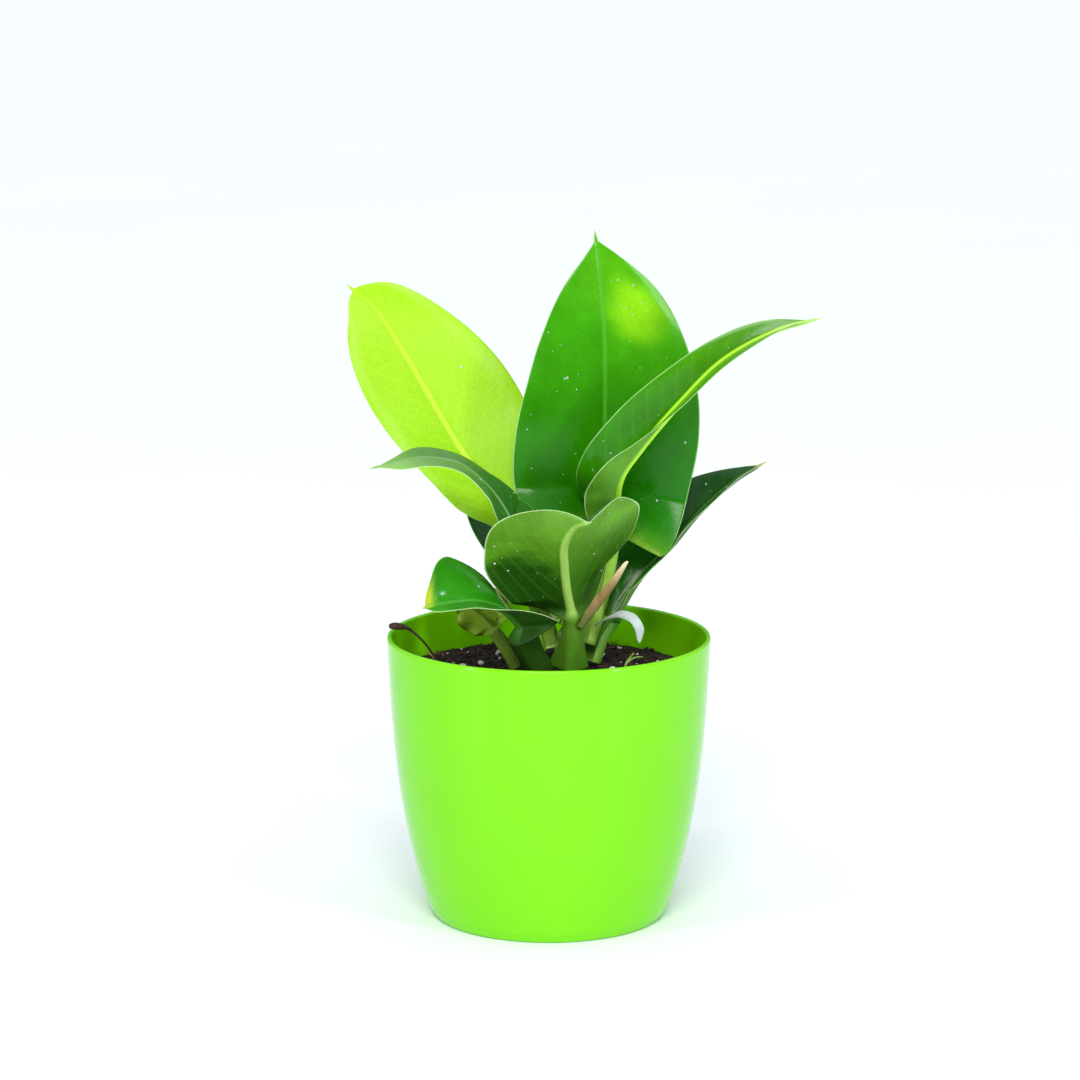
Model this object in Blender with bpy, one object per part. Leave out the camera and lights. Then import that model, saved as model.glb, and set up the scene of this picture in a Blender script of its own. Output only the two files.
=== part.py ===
"""Young broad-leaved foliage plant in a tapered plastic pot.

The origin is the middle of the pot's underside, +Z is up and -Y is the front.  Lengths in the tables below
are millimetres, turned to metres by MM.
"""
import math

import bmesh
import bpy
import numpy as np

MM = 0.001
GAP = 0.3                 # clearance that touching pieces keep

# Pot: a thin moulded wall, 5 inches (128 mm) over the lip
POT_HEIGHT = 113.0
POT_BASE_RADIUS = 46.5
POT_SLOPE = 5.0           # straight part of the wall's widening, base to lip
POT_BELLY = 12.5          # curved part of the widening, strongest low down
POT_WALL = 2.0
POT_FLOOR = 2.6
POT_WALL_RINGS = 9
FOOT_RADIUS = 2.0         # rounding under the outside wall
FOOT_TOP = 3.0            # where the wall rises from that rounding
FOOT_GROOVE = (34.0, 38.0, 1.2)   # inner radius, outer radius and depth of the groove inside the foot ring
GROOVE_TAPER = 0.6
INNER_CORNER = 5.0        # rounding between floor and inside wall
INNER_CORNER_TOP = 8.0
POT_SEGMENTS = 48

# Potting mix
SOIL_EDGE_HEIGHT = 96.2
SOIL_MOUND = 2.8
SOIL_EDGE_ROUNDING = 0.5
SOIL_WALL_GAP = GAP + 0.15   # the mix has fewer sides than the pot, so it keeps a little more clearance
SOIL_WALL_BOTTOM = 14.0
SOIL_FOOT = (1.0, 1.2)    # how far the mix's foot draws in from the pot's corner, and its height over the floor
SOIL_SEGMENTS = 32

# Crown: the short stem that the leaf stalks stand round
CROWN = (7.0, 0.0)        # where its axis stands
CROWN_PROFILE = [(3.5, 80.0), (5.4, 92.0), (5.2, 104.0), (3.6, 113.0), (1.5, 116.5)]   # radius, height
CROWN_DOME = 0.5          # rise of its top over the last ring
CROWN_SEGMENTS = 12

# Leaves
STALK_THICKNESS = 2.4
BLADE_THICKNESS = 0.7
LEAF_ROWS = 15
STALK_ROWS = 4
HALF_COLUMNS = 3

# Each leaf: its centre line from the stalk's foot to the tip, the point where the blade begins, the way its
# upper face looks along the leaf, half-widths left and right of the midrib at even steps from the blade's
# base to its tip, how far each half folds up at the midrib and curls towards its edge (degrees, base to
# tip), the stalk's half-width, and how far the basal lobes reach back.
LEAVES = {
    "leaf_lime": {
        "path": [(4, 4, 119), (-3, 8, 131), (-14, 13, 151), (-21, 17, 162), (-30, 22, 176), (-39, 27, 189),
                 (-56, 37, 217), (-69, 44, 236), (-81, 47, 246)],
        "blade_from": 2,
        "face": [(0.23, -0.91, 0.34), (0.19, -0.93, 0.32), (0.09, -0.92, 0.37), (0, -0.91, 0.42)],
        "left": [6, 15, 19, 22.5, 21, 20, 18],
        "right": [12, 25, 31.5, 32, 27, 18, 12],
        "fold_left": [14, 8, 8], "fold_right": [14, 8, 7], "curl_left": [0, 0, 0], "curl_right": [0, 0, 0],
        "stalk": 3.2, "lobe_left": 0, "lobe_right": 0, "blunt_tip": 0.16, "round_base": 0.12,
        "colour": (0.42, 0.82, 0.0),
    },
    "leaf_upright": {
        "path": [(9, 8, 114), (14, 13, 131), (21, 13, 153), (22, 12, 173), (22, 13, 197), (22, 18, 228),
                 (20, 24, 255), (18, 27, 270)],
        "blade_from": 2,
        "face": [(0, -0.98, 0.2), (0, -1, 0.1), (-0.05, -0.99, 0.15), (0, -0.98, 0.2)],
        "left": [29, 36, 35.5, 31, 25.5, 16, 0],
        "right": [29, 33, 37.5, 37, 31, 20, 0],
        "fold_left": [8, 12, 12], "fold_right": [9, 12, 12], "curl_left": [0, 0, 0],
        "curl_right": [0, 0, 0],
        "stalk": 4.2, "lobe_left": 1, "lobe_right": 10, "blunt_tip": 0, "round_base": 0.05,
        "colour": (0.03, 0.27, 0.01),
    },
    "leaf_right_arched": {
        "path": [(15, 2, 109), (21, 6, 130), (25, 3, 153), (27, -7, 175), (36, -9, 190), (51, -10, 208),
                 (67, -10, 224), (87, -8, 235), (106, -6, 240)],
        "blade_from": 2.2,
        "face": [(-0.72, -0.4, 0.56), (-0.75, -0.45, 0.2), (-0.45, -0.8, 0.4), (-0.18, -0.3, 0.94)],
        "left": [17.5, 17.5, 16, 13, 9.5, 6, 0],
        "right": [16, 18, 16, 14, 13, 9, 0],
        "fold_left": [38, 33, 27], "fold_right": [78, 53, 31], "curl_left": [4, 5, 6],
        "curl_right": [18, 4, 6],
        "stalk": 3.6, "lobe_left": 0, "lobe_right": 0, "blunt_tip": 0, "round_base": 0.12,
        "colour": (0.04, 0.28, 0.01),
    },
    "leaf_left_arched": {
        "path": [(-1, 0, 107), (-5, -1, 128), (-10, -7, 149), (-15, -15.5, 163), (-23, -20, 176),
                 (-34, -24, 186), (-48, -27, 189), (-59, -29, 187), (-69, -30, 185)],
        "blade_from": 2.1,
        "face": [(0.58, -0.66, 0.48), (0.3, -0.6, 0.7), (0.06, -0.25, 0.96), (0, -0.6, 0.78)],
        "left": [7, 11, 12, 10, 8.5, 6, 0],
        "right": [15, 15, 13, 11, 9, 5, 0],
        "fold_left": [3, 6, 10], "fold_right": [19, 4, 11], "curl_left": [-12, -8, -3],
        "curl_right": [-5, -8, -2],
        "stalk": 3.6, "lobe_left": 0, "lobe_right": 3, "blunt_tip": 0, "round_base": 0.12,
        "colour": (0.05, 0.2, 0.05),
    },
    "leaf_front": {
        "path": [(8, -8.5, 101), (9, -10, 112), (9, -11, 122), (7, -16, 134), (6, -22, 145), (6, -30, 155),
                 (10, -40, 164), (16, -50, 168)],
        "blade_from": 2,
        "face": [(-0.05, 0.95, 0.3), (-0.03, 0.99, 0.15), (-0.03, 0.5, 0.86), (-0.02, 0.66, 0.75)],
        "left": [12, 24, 34, 37, 35.5, 23, 0],
        "right": [13, 23.5, 30.5, 31, 28, 16.5, 0],
        "fold_left": [46, 33, 39], "fold_right": [9, 9, 27], "curl_left": [14, 9, 12],
        "curl_right": [2, 0, 6],
        "stalk": 5.5, "lobe_left": 0, "lobe_right": 0, "blunt_tip": 0, "round_base": 0.12,
        "colour": (0.09, 0.27, 0.02),
    },
    "leaf_right_rear": {
        "path": [(17, 4, 101), (20, 6, 110), (25, 10, 117), (36, 17, 133), (49, 22, 145), (60, 23, 158),
                 (74, 26, 170), (87, 30, 177)],
        "blade_from": 2,
        "face": [(-0.43, -0.28, 0.86), (-0.47, -0.53, 0.71), (-0.48, -0.36, 0.8), (-0.36, -0.44, 0.82)],
        "left": [12.5, 19.5, 22.5, 21.5, 17.5, 9.5, 0],
        "right": [15, 19.5, 19, 17, 13.5, 8.5, 0],
        "fold_left": [38, 22, 15], "fold_right": [50, 33, 30], "curl_left": [0, 1, 0],
        "curl_right": [2, 1, 5],
        "stalk": 3.6, "lobe_left": 0, "lobe_right": 6, "blunt_tip": 0, "round_base": 0.12,
        "colour": (0.02, 0.1, 0.02),
    },
    "leaf_left_low": {
        "path": [(-1, -10, 102), (-4, -14, 109), (-10, -18, 120), (-17, -22, 128), (-27, -25, 132),
                 (-36, -27, 132), (-45, -29, 131), (-49, -30, 130)],
        "blade_from": 1.8,
        "face": [(0.16, -0.31, 0.94), (0.05, -0.13, 0.99), (0.09, -0.39, 0.92), (0.01, -0.94, 0.35)],
        "left": [19, 22, 18, 14, 9, 5, 4],
        "right": [7.5, 13.5, 17.5, 19.5, 20, 16.5, 8],
        "fold_left": [22, 19, 26], "fold_right": [8, 9, 38], "curl_left": [17, 11, 9],
        "curl_right": [-11, -6, 12],
        "stalk": 3.6, "lobe_left": 0, "lobe_right": 0, "blunt_tip": 0.15, "round_base": 0.12,
        "colour": (0.05, 0.3, 0.02),
    },
    "leaf_old_small": {
        "path": [(-12, -3, 101), (-17, -3, 109), (-23, -2, 117), (-28, -2, 122), (-33, -3, 126),
                 (-39, -4, 127)],
        "blade_from": 1.7,
        "face": [(-0.3, 0.8, 0.6), (-0.3, 0.9, 0.4), (-0.3, 0.9, 0.4)],
        "left": [7.5, 10.5, 12, 12, 10, 7, 0],
        "right": [5.5, 7.5, 9, 9, 8, 5.5, 0],
        "fold_left": [15, 10, 10], "fold_right": [15, 10, 10], "curl_left": [0, 0, 0],
        "curl_right": [0, 0, 0],
        "stalk": 2.4, "lobe_left": 0, "lobe_right": 0, "blunt_tip": 0, "round_base": 0.12,
        "colour": (0.18, 0.22, 0.03),
    },
    "leaf_left_rear": {
        "path": [(1, 6, 107), (-4, 12, 124), (-14, 22, 136), (-20, 28, 148), (-24, 36, 160), (-28, 44, 175),
                 (-29, 50, 188)],
        "blade_from": 1.8,
        "face": [(0.3, -0.8, 0.5), (0.5, -0.8, 0.4), (0.5, -0.8, 0.5), (0.3, -0.7, 0.7)],
        "left": [7.5, 11.5, 14, 14, 12, 8, 0],
        "right": [9.5, 14.5, 18, 18, 15.5, 10.5, 0],
        "fold_left": [20, 15, 10], "fold_right": [20, 15, 10], "curl_left": [0, 0, 0],
        "curl_right": [0, 0, 0],
        "stalk": 3.0, "lobe_left": 0, "lobe_right": 0, "blunt_tip": 0, "round_base": 0.12,
        "colour": (0.02, 0.13, 0.01),
    },
}
STALK_FOLD = 35.0         # the stalks are channels, open to the stem
POINT_LENGTH = 0.03       # the thin point at each leaf's tip, as a part of the blade's length
POINT_HALF_WIDTH = 0.7
LOBE_START = 0.03         # part of the blade before the basal lobes reach back fully
SETTLE = 0.15             # part of the blade over which the stalk's channel opens into it

# Dry bud scales: centre line, half-width along it, upper face
BUD_SCALES = {
    "bud_scale_tan": {
        "path": [(14, -14, 116.5), (19, -14, 123.5), (26, -14, 133.5), (31, -14, 142)],
        "half_width": [2.6, 3.1, 2.2, 0.7], "face": (-0.6, 0.6, 0.5), "thickness": 0.9,
        "colour": (0.36, 0.22, 0.1),
    },
    "bud_scale_white": {
        "path": [(21.5, -10.5, 120), (26, -12, 122.3), (31.5, -13, 122), (36, -13.5, 118), (37, -13.5, 112)],
        "half_width": [0.7, 1.0, 3.0, 3.2, 0.6], "face": (0.2, -0.5, 0.8), "thickness": 0.6,
        "colour": (0.6, 0.68, 0.68),
    },
    "bud_scale_small": {
        "path": [(-18, -9, 133), (-21, -9, 137), (-25, -9, 142)],
        "half_width": [1.2, 1.6, 0.8], "face": (-0.4, 0.6, 0.6), "thickness": 0.7,
        "colour": (0.34, 0.24, 0.12),
    },
}

# Thin dry and living stalks in the mix: points with their radii, foot first
STRANDS = {
    "dry_twig": {
        "points": [(-43, 4, 98.4, 0.4), (-46, 4, 104, 0.45), (-50, 2, 110, 0.5), (-55, 0, 115, 0.7),
                   (-58, -1, 116.3, 1.2), (-63, -2, 116.8, 1.2)],
        "colour": (0.05, 0.025, 0.02),
    },
    "seedling": {
        "points": [(29.5, -2, 99.2, 0.45), (31, -2.5, 102.5, 0.5), (33.5, -3, 106, 0.4)],
        "fork": [(31, -2.5, 102.5, 0.45), (34, -4, 104.5, 0.35), (37, -5, 105, 0.3)],
        "colour": (0.25, 0.5, 0.08),
    },
    "straw_1": {"points": [(-34, -22, 99.1, 0.4), (-34.5, -22, 105.5, 0.35)], "colour": (0.4, 0.3, 0.14)},
    "straw_2": {
        "points": [(33, -12, 99.6, 0.35), (38, -13, 101.5, 0.35), (43, -12, 103, 0.3)],
        "colour": (0.42, 0.3, 0.12),
    },
    "straw_3": {"points": [(-44, 10, 98.6, 0.35), (-49, 12, 103.5, 0.3)], "colour": (0.4, 0.26, 0.12)},
}
STRAND_SIDES = 8
DULL = 0.7                # roughness of dry scales and strands

# White perlite grains on the mix: place and radius
PERLITE = [(-41, -6, 1.3), (-38, -4, 1.1), (-34, 3, 1.5), (-30, -7, 1.2), (-27, 8, 1.2), (-23, -14, 1.7),
           (25, -6, 1.7), (31, -13, 1.5), (36, -15, 1.0), (21, 22, 1.4), (-8, 34, 1.6), (-20, 26, 1.3)]
PERLITE_DENT = 0.12       # how far a grain's corners stray from a ball, as a part of its radius
PERLITE_FLATNESS = 0.8


def smooth_curve(keys, where):
    """Values at `where` (0 to 1) of a smooth curve through evenly spaced keys."""
    keys = np.array(keys, float)
    keys = keys.reshape(len(keys), -1)
    spans = len(keys) - 1
    keys = np.vstack([2 * keys[0] - keys[1], keys, 2 * keys[-1] - keys[-2]])
    place = np.clip(np.asarray(where, float) * spans, 0, spans - 1e-9)
    span = place.astype(int)
    t = (place - span)[:, None]
    a, b, c, d = (keys[span + k] for k in range(4))
    return 0.5 * (2 * b + (c - a) * t + (2 * a - 5 * b + 4 * c - d) * t**2 + (3 * b - a - 3 * c + d) * t**3)


def unit(vectors):
    """Rows scaled to length 1."""
    return vectors / np.linalg.norm(vectors, axis=1)[:, None]


def frames(path, lengths, face):
    """Points, directions, upper-face normals and right-hand sides at given lengths along a path."""
    steps = np.linspace(0, 1, 40 * len(path))
    dense = smooth_curve(path, steps)
    along = np.r_[0, np.cumsum(np.linalg.norm(np.diff(dense, axis=0), axis=1))]

    def at(length):
        return np.stack([np.interp(length, along, dense[:, k]) for k in range(3)], 1)

    reach = 0.5
    ahead = at(np.clip(lengths + reach, 0, along[-1]))
    behind = at(np.clip(lengths - reach, 0, along[-1]))
    direction = unit(ahead - behind)
    facing = smooth_curve(face, lengths / along[-1])
    normal = unit(facing - (facing * direction).sum(1)[:, None] * direction)
    return at(lengths), direction, normal, np.cross(direction, normal)


def path_length(path, upto):
    """Length of a smooth path as far as control point `upto`."""
    steps = np.linspace(0, upto / (len(path) - 1), 400)
    return np.linalg.norm(np.diff(smooth_curve(path, steps), axis=0), axis=1).sum()


def half_width(leaf, side, u):
    """Width of one half of the blade, at u from 0 at its base to 1 at its tip."""
    outline = np.minimum(u / (1 - POINT_LENGTH), 1)
    width = smooth_curve(leaf[side], outline)[:, 0]
    width *= np.sqrt(np.clip(1 - (1 - np.minimum(u / leaf["round_base"], 1)) ** 2, 0, 1))
    if leaf["blunt_tip"]:
        past = np.maximum((outline - 1) / leaf["blunt_tip"] + 1, 0)
        width *= np.sqrt(np.clip(1 - past**2, 0, 1))
    return np.maximum(width, 0)


def leaf_rows(leaf, blade_rows, stalk_rows, half_columns):
    """Points of the leaf's upper face, row by row from the stalk's foot, left edge to right edge."""
    base = path_length(leaf["path"], leaf["blade_from"])
    total = path_length(leaf["path"], len(leaf["path"]) - 1)
    even = np.linspace(0, 1, blade_rows)
    u = 0.7 * (0.5 - 0.5 * np.cos(math.pi * even)) + 0.3 * even      # closer rows at both ends
    stalk = np.linspace(0, base, stalk_rows, endpoint=False)
    lengths = np.r_[stalk, base + (total - base) * u]
    u = np.r_[np.full(stalk_rows, -1.0), u]
    blade = u >= 0
    ub = np.clip(u, 0, 1)
    centre, direction, normal, right = frames(leaf["path"], lengths, leaf["face"])
    rows = np.zeros((len(u), 2 * half_columns + 1, 3))
    rows[:, half_columns] = centre
    for side, sign in (("left", -1), ("right", 1)):
        stalk_width = leaf["stalk"] * (1 - 0.35 * np.clip(lengths / base, 0, 1))
        point = POINT_HALF_WIDTH * np.minimum(1, (1 - ub) / POINT_LENGTH)
        widened = np.hypot(half_width(leaf, side, ub), 0.8 * stalk_width * (1 - ub) ** 3.5)
        width = np.where(blade, np.maximum(widened, point), stalk_width)
        settle = np.where(blade, np.clip(ub / SETTLE, 0, 1), 0)
        fold = smooth_curve(leaf["fold_" + side], ub)[:, 0]
        fold = STALK_FOLD * (1 - settle) + fold * settle
        curl = smooth_curve(leaf["curl_" + side], ub)[:, 0] * settle
        lobe = leaf["lobe_" + side] * np.where(blade, (1 - ub) ** 4, 0) * np.clip(ub / LOBE_START, 0, 1)
        across = np.zeros(len(u))
        rise = np.zeros(len(u))
        for column in range(1, half_columns + 1):
            angle = np.radians(fold + curl * (column - 0.5) / half_columns)
            across += width / half_columns * np.cos(angle)
            rise += width / half_columns * np.sin(angle)
            back = lobe * (column / half_columns) ** 1.5
            place = centre + sign * right * across[:, None] + normal * rise[:, None] - direction * back[:, None]
            rows[:, half_columns + sign * column] = place
    return rows, ub, blade


def material(name, colour, roughness):
    """A Principled material."""
    made = bpy.data.materials.new(name)
    made.use_nodes = True
    shader = made.node_tree.nodes["Principled BSDF"]
    shader.inputs["Base Color"].default_value = (*colour, 1.0)
    shader.inputs["Roughness"].default_value = roughness
    shader.inputs["Metallic"].default_value = 0.0
    return made


def add_object(name, mesh, colour, roughness, smooth=True):
    """Link a mesh as one named object with its own material."""
    mesh.materials.append(material(name + "_finish", colour, roughness))
    if smooth:
        mesh.shade_smooth()
    thing = bpy.data.objects.new(name, mesh)
    bpy.context.collection.objects.link(thing)
    return thing


def sheet_mesh(name, rows):
    """A sheet through rows of points whose last row closes to a point; faces look up its upper side."""
    count, wide = rows.shape[:2]
    bm = bmesh.new()
    grid = [[bm.verts.new(rows[i, j] * MM) for j in range(wide)] for i in range(count - 1)]
    tip = bm.verts.new(rows[-1, wide // 2] * MM)
    for i in range(count - 2):
        for j in range(wide - 1):
            bm.faces.new((grid[i][j], grid[i][j + 1], grid[i + 1][j + 1], grid[i + 1][j]))
    for j in range(wide - 1):
        bm.faces.new((grid[-1][j], grid[-1][j + 1], tip))
    mesh = bpy.data.meshes.new(name)
    bm.to_mesh(mesh)
    bm.free()
    return mesh


def thicken(thing, thickness, weights=None):
    """Give a sheet its thickness on the under side, scaled point by point where weights are given."""
    solid = thing.modifiers.new("thickness", "SOLIDIFY")
    solid.thickness = thickness * MM
    solid.offset = -1.0
    if weights is not None:
        group = thing.vertex_groups.new(name="thickness")
        for index, weight in enumerate(weights):
            group.add([index], float(weight), "REPLACE")
        solid.vertex_group = group.name


def make_leaf(name, leaf):
    """One leaf: blade, midrib and channelled stalk in one piece, as it grows."""
    rows, ub, blade = leaf_rows(leaf, LEAF_ROWS, STALK_ROWS, HALF_COLUMNS)
    thing = add_object(name, sheet_mesh(name, rows), leaf["colour"], 0.3)
    wide = rows.shape[1]
    thin = BLADE_THICKNESS / STALK_THICKNESS
    weights = []
    for i in range(len(rows) - 1):
        for j in range(wide):
            off_midrib = abs(j - wide // 2) / (wide // 2)
            midrib = 0.75 * (1 - ub[i]) ** 2 * max(0.0, 1 - 4 * off_midrib)
            stalk = 1.0 - 0.45 * off_midrib
            weights.append(max(thin, midrib) if blade[i] and ub[i] > 0 else stalk)
    weights.append(thin)
    thicken(thing, STALK_THICKNESS, weights)


def make_bud_scale(name, scale):
    """One dry papery bud scale, a narrow pointed channel."""
    total = path_length(scale["path"], len(scale["path"]) - 1)
    along = np.linspace(0, 1, 11)
    centre, _, normal, right = frames(scale["path"], total * along, [scale["face"], scale["face"]])
    width = smooth_curve(scale["half_width"], along)[:, 0]
    rows = np.zeros((len(along), 5, 3))
    for j, across in enumerate((-1.0, -0.55, 0.0, 0.55, 1.0)):
        rise = 0.45 * across**2
        rows[:, j] = centre + right * (width * across)[:, None] + normal * (width * rise)[:, None]
    thing = add_object(name, sheet_mesh(name, rows), scale["colour"], DULL)
    thicken(thing, scale["thickness"])


def turned(name, profile, segments, colour, roughness):
    """Turn a profile that starts and ends on the axis; it runs down the outer side."""
    mesh = bpy.data.meshes.new(name)
    points = [(radius * MM, 0.0, height * MM) for radius, height in profile]
    mesh.from_pydata(points, [(k, k + 1) for k in range(len(points) - 1)], [])
    thing = add_object(name, mesh, colour, roughness, smooth=False)
    screw = thing.modifiers.new("turned", "SCREW")
    screw.steps = segments
    screw.render_steps = segments
    screw.use_merge_vertices = True
    screw.merge_threshold = 0.00001
    screw.use_smooth_shade = True
    return thing


def pot_radius(height):
    """Outer radius of the pot's wall at a height."""
    t = height / POT_HEIGHT
    return POT_BASE_RADIUS + POT_SLOPE * t + POT_BELLY * (1 - (1 - t) ** 3)


def arc(centre, radius, start, stop, count):
    """Points on an arc in the profile's plane, angles in degrees from +radius."""
    angles = np.radians(np.linspace(start, stop, count))
    return [(centre[0] + radius * math.cos(a), centre[1] + radius * math.sin(a)) for a in angles]


def make_pot():
    """The pot: floor, wall with a full-round lip, and a foot ring with a groove inside it."""
    lip = POT_WALL / 2
    heights = np.linspace(POT_HEIGHT - lip, FOOT_TOP, POT_WALL_RINGS)
    inner = [(pot_radius(h) - POT_WALL, h) for h in heights[::-1][2:]]
    outer = [(pot_radius(h), h) for h in heights[1:]]
    corner = (pot_radius(INNER_CORNER_TOP) - POT_WALL - INNER_CORNER, POT_FLOOR + INNER_CORNER)
    inner_corner = arc(corner, INNER_CORNER, -90, -20, 4)
    over_lip = arc((pot_radius(heights[0]) - lip, heights[0]), lip, 180, 0, 5)[1:]
    foot = arc((POT_BASE_RADIUS - FOOT_RADIUS, FOOT_RADIUS), FOOT_RADIUS, -10, -90, 4)
    groove_in, groove_out, depth = FOOT_GROOVE
    profile = [(0, POT_FLOOR)] + inner_corner + inner + over_lip + outer + foot
    profile += [(groove_out, 0), (groove_out - GROOVE_TAPER, depth), (groove_in + GROOVE_TAPER, depth),
                (groove_in, 0), (0, 0)]
    turned("pot", profile, POT_SEGMENTS, (0.26, 0.91, 0.0), 0.12)


def soil_top(radius):
    """Height of the mix's top at a radius."""
    edge = pot_radius(SOIL_EDGE_HEIGHT) - POT_WALL
    return SOIL_EDGE_HEIGHT + SOIL_MOUND * (1 - (radius / edge) ** 2)


def crown_profile(grow, extra):
    """The crown's outline from its top down, wider by `grow` and taller by `extra`."""
    outline = [(radius + grow, height) for radius, height in CROWN_PROFILE]
    foot = (outline[0][0], outline[0][1] - grow)
    top = (outline[-1][0], outline[-1][1] + extra)
    return [(0, top[1] + CROWN_DOME), top] + outline[::-1][1:-1] + [foot, (0, foot[1])]


def make_soil_and_crown():
    """The mix as one plug, with the pocket that the crown stands in."""
    edge = pot_radius(SOIL_EDGE_HEIGHT) - POT_WALL - GAP
    top = [(r, soil_top(r)) for r in np.linspace(0, edge - SOIL_EDGE_ROUNDING, 8)]
    outer = [(pot_radius(h) - POT_WALL - SOIL_WALL_GAP, h)
             for h in np.linspace(SOIL_EDGE_HEIGHT, SOIL_WALL_BOTTOM, 6)]
    draw_in, foot_height = SOIL_FOOT
    corner = pot_radius(INNER_CORNER_TOP) - POT_WALL - INNER_CORNER
    foot = [(corner - draw_in, POT_FLOOR + foot_height), (0, POT_FLOOR + GAP)]
    soil = turned("soil", top + outer + foot, SOIL_SEGMENTS, (0.03, 0.013, 0.009), 0.95)
    cutter = turned("crown_pocket", crown_profile(GAP, 5), CROWN_SEGMENTS, (0.5, 0.5, 0.5), 0.5)   # open above the mix
    cutter.location = (CROWN[0] * MM, CROWN[1] * MM, 0)
    cutter.hide_render = True
    cutter.display_type = "WIRE"
    cut = soil.modifiers.new("crown_pocket", "BOOLEAN")
    cut.operation = "DIFFERENCE"
    cut.object = cutter
    stem = turned("stem", crown_profile(0, 0), CROWN_SEGMENTS, (0.1, 0.22, 0.03), 0.6)
    stem.location = (CROWN[0] * MM, CROWN[1] * MM, 0)


def strand_curve(name, points):
    """A tapered round strand through points that carry their radius."""
    steps = np.linspace(0, 1, 2 * len(points) - 1)
    places = smooth_curve([p[:3] for p in points], steps)
    radii = smooth_curve([p[3] for p in points], steps)
    curve = bpy.data.curves.new(name, "CURVE")
    curve.dimensions = "3D"
    curve.bevel_depth = MM
    curve.bevel_resolution = STRAND_SIDES // 4 - 1
    curve.use_fill_caps = True
    spline = curve.splines.new("POLY")
    spline.points.add(len(places) - 1)
    for point, place, radius in zip(spline.points, places, radii[:, 0]):
        point.co = (*(place * MM), 1.0)
        point.radius = radius
    return curve


def swept(name, points, colour):
    """A strand's curve as a meshed object."""
    curve = strand_curve(name, points)
    curve.materials.append(material(name + "_finish", colour, DULL))
    outline = bpy.data.objects.new(name, curve)
    bpy.context.collection.objects.link(outline)
    mesh = bpy.data.meshes.new_from_object(outline.evaluated_get(bpy.context.evaluated_depsgraph_get()))
    bpy.data.objects.remove(outline)
    thing = bpy.data.objects.new(name, mesh)
    bpy.context.collection.objects.link(thing)
    return thing


def make_strand(name, strand):
    """A thin stalk; a fork is joined to it by a union."""
    thing = swept(name, strand["points"], strand["colour"])
    if "fork" in strand:
        fork = swept(name + "_fork", strand["fork"], strand["colour"])
        fork.hide_render = True
        fork.display_type = "WIRE"
        union = thing.modifiers.new("fork", "BOOLEAN")
        union.operation = "UNION"
        union.object = fork


def make_perlite(number, place):
    """One perlite grain, an irregular faceted lump resting on the mix."""
    x, y, radius = place
    bm = bmesh.new()
    bmesh.ops.create_icosphere(bm, subdivisions=1, radius=radius * MM)
    for vert in bm.verts:
        angle = 2.1 * number + 900 * vert.co.x + 700 * vert.co.y
        vert.co *= 1 + PERLITE_DENT * math.sin(angle)
        vert.co.z *= PERLITE_FLATNESS
    height = soil_top(math.hypot(x, y)) + GAP + radius
    for vert in bm.verts:
        vert.co.x += x * MM
        vert.co.y += y * MM
        vert.co.z += height * MM
    name = f"perlite_{number:02d}"
    mesh = bpy.data.meshes.new(name)
    bm.to_mesh(mesh)
    bm.free()
    add_object(name, mesh, (0.8, 0.78, 0.74), 0.9, smooth=False)


def main():
    """Build the plant and its pot."""
    for thing in list(bpy.data.objects):
        bpy.data.objects.remove(thing)
    make_pot()
    make_soil_and_crown()
    for name, leaf in LEAVES.items():
        make_leaf(name, leaf)
    for name, scale in BUD_SCALES.items():
        make_bud_scale(name, scale)
    for name, strand in STRANDS.items():
        make_strand(name, strand)
    for number, place in enumerate(PERLITE, start=1):
        make_perlite(number, place)


main()
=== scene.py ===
import math

import bmesh
import bpy
import numpy as np
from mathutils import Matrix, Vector, noise


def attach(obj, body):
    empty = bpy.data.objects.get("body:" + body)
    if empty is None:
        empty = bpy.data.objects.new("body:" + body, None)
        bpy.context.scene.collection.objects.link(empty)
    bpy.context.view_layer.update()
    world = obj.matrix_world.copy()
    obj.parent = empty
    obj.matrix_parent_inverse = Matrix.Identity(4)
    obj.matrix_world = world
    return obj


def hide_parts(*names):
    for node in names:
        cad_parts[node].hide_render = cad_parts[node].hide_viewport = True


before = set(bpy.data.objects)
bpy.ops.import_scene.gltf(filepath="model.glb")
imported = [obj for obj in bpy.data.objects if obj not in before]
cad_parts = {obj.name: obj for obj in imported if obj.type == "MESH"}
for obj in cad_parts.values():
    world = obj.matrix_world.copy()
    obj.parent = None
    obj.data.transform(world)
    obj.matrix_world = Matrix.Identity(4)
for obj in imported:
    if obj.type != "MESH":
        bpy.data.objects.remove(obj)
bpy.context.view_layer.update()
mm = 0.001  # every table below is in millimetres
print("frame loaded:", len(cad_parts), "nodes")


# small helpers

def linear(hexColour):  # sRGB hex to linear
    parts = [int(hexColour[k:k + 2], 16) / 255 for k in (0, 2, 4)]
    return [c / 12.92 if c <= 0.04045 else ((c + 0.055) / 1.055) ** 2.4 for c in parts]


def rgba(hexColour):
    return (*linear(hexColour), 1.0)


def smoothCurve(keys, where):  # smooth curve through evenly spaced keys, where runs 0 to 1
    keys = np.array(keys, float)
    keys = keys.reshape(len(keys), -1)
    spans = len(keys) - 1
    keys = np.vstack([2 * keys[0] - keys[1], keys, 2 * keys[-1] - keys[-2]])
    place = np.clip(np.asarray(where, float) * spans, 0, spans - 1e-9)
    span = place.astype(int)
    t = (place - span)[:, None]
    a, b, c, d = (keys[span + k] for k in range(4))
    return 0.5 * (2 * b + (c - a) * t + (2 * a - 5 * b + 4 * c - d) * t**2 + (3 * b - a - 3 * c + d) * t**3)


def smoothStep(low, high, values):
    t = np.clip((values - low) / (high - low), 0, 1)
    return t * t * (3 - 2 * t)


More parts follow.
